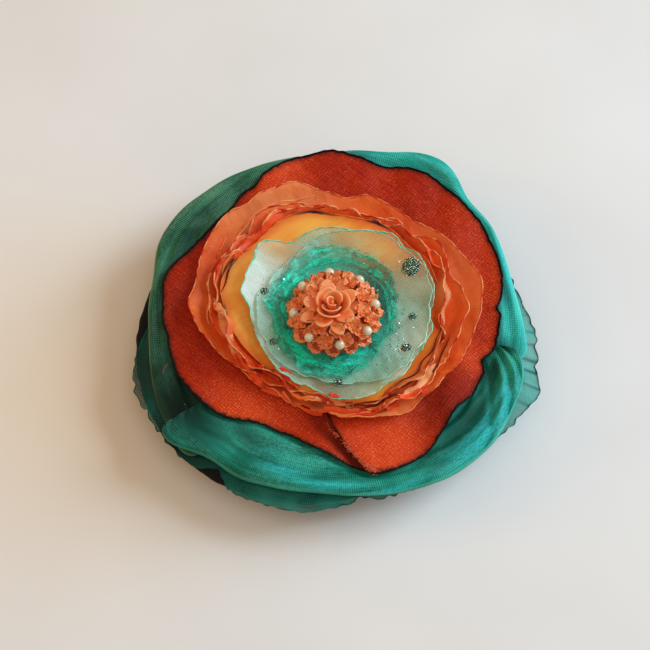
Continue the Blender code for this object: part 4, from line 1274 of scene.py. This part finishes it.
# Spilled glitter: x, y, spread and count.
SPILLS = (
    (10.8, 6.7, 2.2, 40),
    (1.9, -14.7, 2.6, 46),
    (-15.0, -8.6, 2.6, 30),
    (-11.0, 9.0, 2.4, 14),
    (6.5, 15.0, 2.0, 12),
    (16.0, -11.0, 2.6, 22),
    (18.4, 10.6, 3.4, 16),
    (-17.0, 4.0, 2.6, 16),
    (0.0, -18.0, 5.0, 26),
    (12.0, -15.0, 3.0, 14),
    (15.0, -2.0, 4.0, 60),
    (12.0, -8.0, 4.0, 40),
    (14.0, -14.0, 3.0, 24),
    (-14.0, 8.0, 3.0, 20),
)
glue_gel = plain("glitter_glue_gel", srgb(22, 56, 40), srgb(60, 110, 84), 0.25, 2.2, 0.15, Coat_Weight=0.4)
flake_foil = flakes("glitter_flake_foil")
mint_tops = [top_of(mint_upper), top_of(mint_lower)]


def on_mint(x, y):
    """The place and normal on the upper mint layer, or else on the lower one."""
    return next((hit for hit in (top(x, y) for top in mint_tops) if hit[0]), (None, None))


def glitter_dot(number, x, y, radius):
    """A low uneven dome of glitter glue, packed with flakes."""
    rng = np.random.default_rng(600 + number)
    columns, rows = 40, 9
    angle = np.linspace(0.0, TAU, columns, endpoint=False)
    edge = radius * (1.0 + 0.16 * ring_wave(angle, 610 + number, 3, 9))
    verts = []
    for row in range(rows):
        out = (row + 0.15) / (rows - 1 + 0.15)
        dome = 0.34 * max(0.0, 1.0 - out**2.4) + 0.02
        for px, py in zip(*polar((x, y), edge * out, angle)):
            place, _ = on_mint(px, py)
            uneven = 0.05 * math.sin(9.0 * px) * math.cos(11.0 * py) * (1.0 - out)
            verts.append((px, py, (place.z if place else 22.0) + dome + uneven))
    faces = [tuple(range(columns))]
    for low in range(0, columns * (rows - 1), columns):
        for k in range(columns):
            after = (k + 1) % columns
            faces.append((low + k, low + columns + k, low + columns + after, low + after))
    spots = []
    for _ in range(int(64 * radius * radius)):
        turn, out = rng.uniform(0, TAU), math.sqrt(rng.uniform(0, 1)) * 1.08
        px, py = polar((x, y), radius * out, turn)
        place, normal = on_mint(px, py)
        if place:
            spots.append((px, py, place.z + 0.36 * max(0.0, 1.0 - out**2.4) + 0.03, normal))
    slots, tones = [0] * len(faces), [0.0] * len(verts)
    more, more_faces, more_tones = flake_cloud(spots, 620 + number, 0.17, 0.08, 0.5, len(verts))
    marks = {"tone": tones + more_tones}
    slots += [1] * len(more_faces)
    name = f"glitter_glue_{number}"
    obj = mesh_object(name, verts + more, faces + more_faces, [glue_gel, flake_foil], marks=marks, slots=slots)
    stands_for(obj, "glitter_glue", f"glitter_dot_{number}")


for number, dot in enumerate(GLITTER_DOTS, 1):
    glitter_dot(number, *dot)


def loose_glitter():
    """Single flakes spilled on the mint cloth, the net, and a few on the teal strips."""
    rng = np.random.default_rng(640)
    spots = []
    tops = (*mint_tops, top_of(net_lower))
    for middle_x, middle_y, reach, count in SPILLS:
        for _ in range(count):
            x, y = middle_x + rng.normal(0, reach * 0.55), middle_y + rng.normal(0, reach * 0.55)
            hits = [hit for hit in (top(x, y) for top in tops) if hit[0]]
            if hits:
                place, normal = max(hits, key=lambda hit: hit[0].z)
                spots.append((x, y, place.z + 0.05, normal))
    for piece, count in ((petal_left, 26), (petal_front, 30), (petal_right, 10)):
        top = top_of(piece)
        for _ in range(count):
            turn = rng.uniform(0, TAU)
            x, y = polar(PETAL_CENTRE, rng.uniform(41.0, 49.0), turn)
            place, normal = top(x, y)
            if place:
                spots.append((x, y, place.z + 0.04, normal))
    verts, faces, tones = flake_cloud(spots, 641, 0.14, 0.02, 0.45)
    return mesh_object("loose_glitter", verts, faces, [flake_foil], False, {"tone": tones})


stands_for(loose_glitter(), "glitter_glue")


# ======================================================================== build: thread and wire


THREAD_RADIUS = 0.2


def round_wire(name, points, radius, material, closed=False):
    """A round wire or thread through points in mm."""
    curve = bpy.data.curves.new(name, "CURVE")
    curve.dimensions = "3D"
    curve.bevel_depth = radius * MM
    curve.bevel_resolution = 4
    curve.use_fill_caps = not closed
    spline = curve.splines.new("POLY")
    spline.points.add(len(points) - 1)
    for point, place in zip(spline.points, points):
        point.co = (*(c * MM for c in place), 1.0)
    spline.use_cyclic_u = closed
    curve.materials.append(material)
    return link(name, curve)


def thread_loops():
    """The thread that gathers the layers, and the two stitches that hold the stack to the clip."""
    thread = plain("sewing_thread", srgb(14, 14, 16), srgb(44, 44, 48), 0.75, 4.0, 0.05)
    turn = np.linspace(0.0, TAU, 96, endpoint=False)
    loop = spread(*polar(PETAL_CENTRE, 3.6, turn), 11.5 + 0.08 * np.sin(12 * turn))
    stands_for(round_wire("gathering_stitch", loop, THREAD_RADIUS, thread, True), "thread", "gathering_thread")
    corners = ((-2.5, 8.2), (1.9, 8.2), (1.9, 19.85), (-2.5, 19.85))
    for name, node, y in (("back_stitch", "stitch_back", 7.4), ("front_stitch", "stitch_front", -7.8)):
        path = []
        for (x, z), (next_x, next_z) in zip(corners, corners[1:] + corners[:1]):
            path += [(x + (next_x - x) * t / 12, y, z + (next_z - z) * t / 12) for t in range(12)]
        stands_for(round_wire(name, path, THREAD_RADIUS, thread, True), "thread", node)


def torsion_spring():
    """The coil and the leg under the upper arm stay with the flower.

    The other leg turns with the lower arm, as the coil winds up.
    """
    steel = brushed_steel("spring_wire", srgb(120, 122, 126), srgb(180, 182, 186))
    x, z = -9.0, 5.0
    coil, half_length, turns, wire, leg_end = 1.2, 2.3, 5.5, 0.28, -17.0
    share = np.linspace(0.0, 1.0, 265)
    angle = 0.5 * math.pi - turns * TAU * share
    wound = spread(x + coil * np.cos(angle), half_length * (2.0 * share - 1.0), z + coil * np.sin(angle))
    upper = [(leg_end, -half_length, z + coil), *wound]
    lower = [*wound[-25:], (leg_end, half_length, 2.8)]
    stands_for(round_wire("spring_coil", upper, wire, steel), "spring_steel", "clip_spring")
    stands_for(round_wire("spring_lower_leg", lower, wire, steel), "spring_steel", body="lower_arm")


thread_loops()

# ======================================================================== build: cabochon


def shell_faces(start, lines, places, turned_over=False):
    """The faces of a closed shell: two patches of the same size, joined along their edges."""
    size = lines * places
    patch = patch_faces(start, lines, places)
    edge = [*range(places), *range(2 * places - 1, size, places)]
    edge += [*range(size - 2, size - places - 1, -1), *range(size - 2 * places, 0, -places)]
    joins = [(start + b, start + a, start + size + a, start + size + b) for a, b in zip(edge, edge[1:] + edge[:1])]
    if turned_over:
        patch = [(a, d, c, b) for a, b, c, d in patch]
        joins = [face[::-1] for face in joins]
    return patch + [tuple(v + size for v in face[::-1]) for face in patch] + joins


class Moulding:
    """A moulded mesh in the making. A crest is how far a point stands proud, 0 to 1; the resin paints light on high
    crests and shade on low ones, so insides and cores get low values.
    """

    def __init__(self):
        self.verts, self.faces, self.crests = [], [], []

    def put(self, place, crest):
        self.verts.append(tuple(place))
        self.crests.append(crest)

    def spoon(self, origin, forward, up, length):
        """One rounded little petal that starts at origin and points along forward."""
        side = up.cross(forward).normalized()
        width, thick = length * 1.05, 0.46
        self.faces += shell_faces(len(self.verts), 7, 7)
        for outside in (False, True):
            for out in (i / 6 for i in range(7)):
                wide = width * (0.4 + 0.6 * math.sin(math.pi * (0.08 + 0.74 * out)))
                for across in (2.0 * j / 6 - 1.0 for j in range(7)):
                    rim = max(abs(across), out if out > 0.5 else 0.0)
                    bend = 1.3 * (across**2 * 0.8 + max(0.0, out - 0.2) ** 2) + 0.45 * out
                    body = thick * (1.0 - 0.75 * rim**3) * (1.0 if outside else -0.6)
                    tip = length * out * (1.0 - 0.26 * out * across**2)
                    place = origin + forward * tip + side * (across * wide * 0.5) + up * (bend + body)
                    # Outer edges and tips get high crests, painted light; the insides get 0.15, a little painted
                    # shade.
                    self.put(place, 0.25 + 0.75 * rim**2 * (0.4 + 0.6 * out) if outside else 0.15)

    def ball(self, centre, radius, crest, flatten=1.0, segments=14, rings=9):
        start = len(self.verts)
        x, y, z = centre
        self.put((x, y, z - radius * flatten), crest)
        for ring in range(1, rings):
            slope = math.pi * ring / rings
            for turn in (TAU * k / segments for k in range(segments)):
                px, py = polar((x, y), radius * math.sin(slope), turn)
                self.put((px, py, z - radius * flatten * math.cos(slope)), crest)
        self.put((x, y, z + radius * flatten), crest)
        last = start + 1 + (rings - 2) * segments
        for k in range(segments):
            after = (k + 1) % segments
            self.faces.append((start, start + 1 + after, start + 1 + k))
            self.faces.append((last + k, last + after, last + segments))
            for low in range(start + 1, last, segments):
                self.faces.append((low + k, low + after, low + segments + after, low + segments + k))

    def rose_petal(self, centre, turn, sweep, low, high, bottom, top, roll, point, thick, seed):
        """A curved shell from radius low at the bottom to high at the top, its edge rolled out."""
        notch = np.random.default_rng(seed).uniform(-0.3, 0.3)
        rows, columns = 14, 21
        self.faces += shell_faces(len(self.verts), rows, columns, True)
        for side in (-thick, thick):
            for rise in (i / (rows - 1) for i in range(rows)):
                for across in (2.0 * j / (columns - 1) - 1.0 for j in range(columns)):
                    fall = 1.0 - (0.3 + 0.3 * point) * abs(across) ** (2.8 - 1.3 * point)
                    level = rise * fall
                    radius = low + (high - low) * level**1.3 + roll * max(0.0, level - 0.7) ** 1.5 * 3.0
                    radius += 0.12 * math.sin(3.0 * across + notch + 4.0 * level) + side * (1.0 - 0.45 * level)
                    angle = turn + 0.5 * sweep * across * (1.0 - 0.1 * rise)
                    z = bottom + (top - bottom) * (level - 0.4 * roll * max(0.0, level - 0.74) ** 1.3)
                    edge = max(level / (fall + 1e-6), abs(across)) ** 6
                    # Crests rise toward the top and rim of each petal: painted light there.
                    crest = min(1.0, 0.34 + 0.34 * level + 0.6 * edge * level)
                    self.put((*polar(centre, radius, angle), z), crest)

    def piece(self, name, material):
        return mesh_object(name, self.verts, self.faces, [material], marks={"crest": self.crests})


PEARL_PLACES = [
    (*polar(CABOCHON_CENTRE, 9.8, math.radians(7.0 + 45.0 * k)), CABOCHON_BOTTOM + 3.4) for k in range(8)
]


def cabochon_dish():
    """The moulded dish under the little flowers, a turned form with a flat back."""
    lower = ((0.2, 0.0), (6.0, 0.0), (10.2, 0.0), (10.7, 0.35), (10.6, 1.1))
    upper = ((9.9, 2.2), (8.6, 3.2), (6.5, 4.2), (3.5, 4.8), (0.2, 5.0))
    angle, radius, height = turned(lower + upper, 96)
    radius = radius + 0.15 * np.cos(16 * angle) * (radius > 8.0)
    points = spread(*polar(CABOCHON_CENTRE, radius, angle), CABOCHON_BOTTOM + height)
    material = plain("coral_resin_shadow", srgb(150, 36, 8), srgb(196, 66, 22), 0.4, 1.2, 0.1)
    return grid_object("cabochon_dish", points, True, material)


def small_flowers(material):
    """Rings of tightly packed five-petal flowers that cover the dish round the rose."""
    rng = np.random.default_rng(700)
    flowers = Moulding()
    # ring radius, height, count, offset in places, lean in degrees
    for ring_radius, height, count, offset, lean in (
        (9.1, 1.3, 15, 0.1, 62.0),
        (8.1, 2.9, 13, 0.33, 42.0),
        (6.4, 4.2, 10, 0.6, 22.0),
    ):
        for k in range(count):
            turn = TAU * (k + offset) / count + rng.uniform(-0.05, 0.05)
            centre = Vector((*polar(CABOCHON_CENTRE, ring_radius, turn), CABOCHON_BOTTOM + height))
            near = min((Vector(p) - centre).length for p in PEARL_PLACES)
            tilt = math.radians(lean + rng.uniform(-6, 6))
            up = Vector((*polar((0.0, 0.0), math.sin(tilt), turn), math.cos(tilt)))
            if near < 2.0:
                centre = centre - up * (2.0 - near) * 0.7
            ahead = up.orthogonal().normalized()
            spin = rng.uniform(0.0, TAU)
            reach = rng.uniform(1.9, 2.3)
            for petal in range(5):
                forward = Matrix.Rotation(spin + TAU * petal / 5, 3, up) @ ahead
                flowers.spoon(centre, forward, up, reach)
            flowers.ball(centre + up * 0.4, 0.42, 0.5)
    return flowers.piece("cabochon_flowers", material)


def rose(material):
    """A full-blown rose on top: a wound bud in three upright petals, with open pointed ones round it."""
    petals = Moulding()
    x, y = CABOCHON_CENTRE[0] - 0.9, CABOCHON_CENTRE[1] - 0.5
    bud = (x + 0.3, y - 0.2)
    # centre, azimuths, sweep, radius low, radius high, bottom, top, roll, point, half thickness
    rings = (
        ((x, y), (136.0, 208.0, 288.0, 0.0, 64.0), 62.0, 2.4, 8.0, 4.5, 5.9, 0.3, 1.0, 0.34),
        ((x, y), (102.0, 172.0, 246.0, 322.0, 30.0), 70.0, 2.6, 6.5, 4.8, 6.9, 0.4, 0.8, 0.32),
        (bud, (12.0, 132.0, 250.0), 124.0, 2.5, 4.1, 4.8, 8.3, 0.3, 0.1, 0.36),
        (bud, (84.0, 262.0), 166.0, 1.6, 2.7, 5.2, 8.8, 0.15, 0.0, 0.34),
        (bud, (200.0,), 290.0, 0.7, 1.35, 5.6, 8.9, 0.0, 0.0, 0.26),
    )
    seed = 720
    for middle, azimuths, sweep, low, high, bottom, top, roll, point, thick in rings:
        for k, azimuth in enumerate(azimuths):
            seed += 1
            levels = (CABOCHON_BOTTOM + bottom, CABOCHON_BOTTOM + top - 0.2 * (k % 2))
            turn, wide = math.radians(azimuth), math.radians(sweep)
            petals.rose_petal(middle, turn, wide, low, high, *levels, roll, point, thick, seed)
    petals.ball((*bud, CABOCHON_BOTTOM + 7.5), 0.5, 0.3, 2.2)
    # A core under the petals; its crest of 0 paints it dark, as shade.
    petals.ball((x, y, CABOCHON_BOTTOM + 4.8), 3.2, 0.0, 0.5, 32, 12)
    return petals.piece("cabochon_rose", material)


def pearls():
    material = plain(
        "ivory_pearl_gloss", srgb(206, 188, 150), srgb(244, 232, 204), 0.16, 0.35, 0.02,
        Coat_Weight=0.8, Coat_Roughness=0.05,
    )
    for number, place in enumerate(PEARL_PLACES, 1):
        pearl = Moulding()
        pearl.ball(place, 1.2, 0.0, 1.0, 40, 28)
        obj = mesh_object(f"pearl_bead_{number}", pearl.verts, pearl.faces, [material])
        stands_for(obj, "pearl", f"pearl_{number}")


coral_resin = resin("coral_resin_gloss")
stands_for(cabochon_dish(), "coral_resin", "cabochon")
stands_for(small_flowers(coral_resin), "coral_resin")
stands_for(rose(coral_resin), "coral_resin")
pearls()

# ======================================================================== build: glue, spring and clip


def glue_disc(material):
    profile = ((0.1, 19.75), (2.5, 19.75), (3.8, 19.76), (4.0, 19.92), (3.8, 20.08), (2.5, 20.1), (0.1, 20.1))
    angle, radius, height = turned(profile, 96)
    radius = radius * (1.0 - 0.04 * np.abs(ring_wave(angle, 730, 3, 9)))
    points = spread(*polar(CABOCHON_CENTRE, radius, angle), height)
    return grid_object("glue_under_cabochon", points, True, material)


def glue_pad(material):
    """The bead of glue that holds the clip to the felt: a soft-edged strip."""
    lower = ((0.02, 8.0), (0.6, 8.0), (0.93, 8.0), (0.985, 8.06), (1.0, 8.25))
    upper = ((0.985, 8.44), (0.93, 8.5), (0.6, 8.5), (0.02, 8.5))
    turn, share, height = turned(lower + upper, 240)
    share = share * (1.0 - 0.012 * np.abs(ring_wave(turn, 740, 8, 30)))
    along_x, along_y = (np.sign(way) * np.abs(way) ** 0.24 for way in (np.cos(turn), np.sin(turn)))
    points = spread(1.0 + 24.8 * along_x * share, 3.5 * along_y * share, height)
    return grid_object("glue_on_clip", points, True, material)


clear_glue = plain("clear_craft_glue", srgb(196, 190, 170), srgb(226, 222, 206), 0.3, 0.7, 0.15)
stands_for(glue_disc(clear_glue), "clear_glue", "cabochon_glue")
stands_for(glue_pad(clear_glue), "clear_glue", "clip_glue_pad")
torsion_spring()

nickel = brushed_steel("nickel_plate", srgb(168, 168, 166), srgb(214, 214, 212))
for node_name in ("clip_upper_arm", "clip_lower_arm", "clip_hinge_pin"):
    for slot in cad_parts[node_name].material_slots:
        slot.material = nickel

# ======================================================================== sheet sizes, worked out and not used


def declare_disc(layer):
    """The side of the square that a gathered disc of cloth is cut from, just holding it; the value is not used."""
    size = layer["across"] * 1.05


STRIP_WIDTH = 0.082
declare_disc(FRILL)
for strip, length in ((petal_left, left_length), (petal_right, right_length), (petal_front, front_length)):
    area = STRIP_WIDTH * length * MM * 0.6
    length * MM
declare_disc(ORANGE_LOWER)
declare_disc(ORANGE_MIDDLE)
declare_disc(ORANGE_UPPER)
declare_disc(GOLD)
declare_disc(MINT_LOWER)
declare_disc(MINT_UPPER)
declare_disc(NET_LOWER)
declare_disc(NET_UPPER)

# ======================================================================== floor, light and camera


def floor():
    """A pale sheet of paper, with painted warm light on the left, beside the warm wall lamp."""
    s = Shader("pale_paper_floor")
    colour = s.mix(s.band(s.noise(0.012), 0.3, 0.7), srgb(232, 230, 226), srgb(238, 237, 234))
    away = s.from_centre((-66.0, -12.0))[2]
    # Painted warm light, strongest at a point left of the flower.
    colour = s.mix(s.band(away, 80.0, 0.0, 0.0, 0.55), colour, srgb(240, 214, 176))
    material = s.done(colour, 0.7, s.bump(s.noise(0.9, 4.0), 0.03, 0.3))
    reach = 1500.0
    corners = [(-reach, -reach, 0.0), (reach, -reach, 0.0), (reach, reach, 0.0), (-reach, reach, 0.0)]
    mesh_object("floor", corners, [(0, 1, 2, 3)], [material])


def area_light(name, place, target, size, watts, colour):
    """A rectangular light at a place in metres, turned to its target."""
    data = bpy.data.lights.new(name, "AREA")
    data.shape = "RECTANGLE"
    data.size, data.size_y = size
    data.energy = watts
    data.color = colour
    obj = link(name, data)
    obj.location = place
    obj.rotation_euler = (Vector(target) - Vector(place)).to_track_quat("-Z", "Y").to_euler()


def lights():
    world = bpy.data.worlds.new("studio")
    bpy.context.scene.world = world
    world.use_nodes = True
    background = world.node_tree.nodes["Background"]
    background.inputs["Color"].default_value = (1.0, 0.73, 0.47, 1.0)
    background.inputs["Strength"].default_value = 0.4
    area_light("window", (0.78, 0.28, 0.5), (0.0, 0.0, 0.01), (0.5, 0.6), 9.6, (0.63, 0.82, 1.0))
    area_light("warm_wall", (-0.58, 0.08, 0.28), (-0.05, 0.0, 0.0), (0.3, 0.3), 0.8, (1.0, 0.52, 0.16))
    area_light("sky_fill", (0.1, -0.35, 1.1), (0.0, 0.0, 0.0), (0.9, 0.9), 2.8, (0.66, 0.84, 1.0))


def camera():
    data = bpy.data.cameras.new("camera")
    data.lens = 85.0
    data.sensor_width = 36.0
    data.clip_start = 0.01
    obj = link("camera", data)
    obj.location = (-0.0026, -0.1727, 0.3499)
    obj.rotation_euler = (math.radians(27.0), 0.0, 0.0)
    bpy.context.scene.camera = obj


floor()
lights()
camera()
bpy.context.scene.view_settings.view_transform = "Standard"
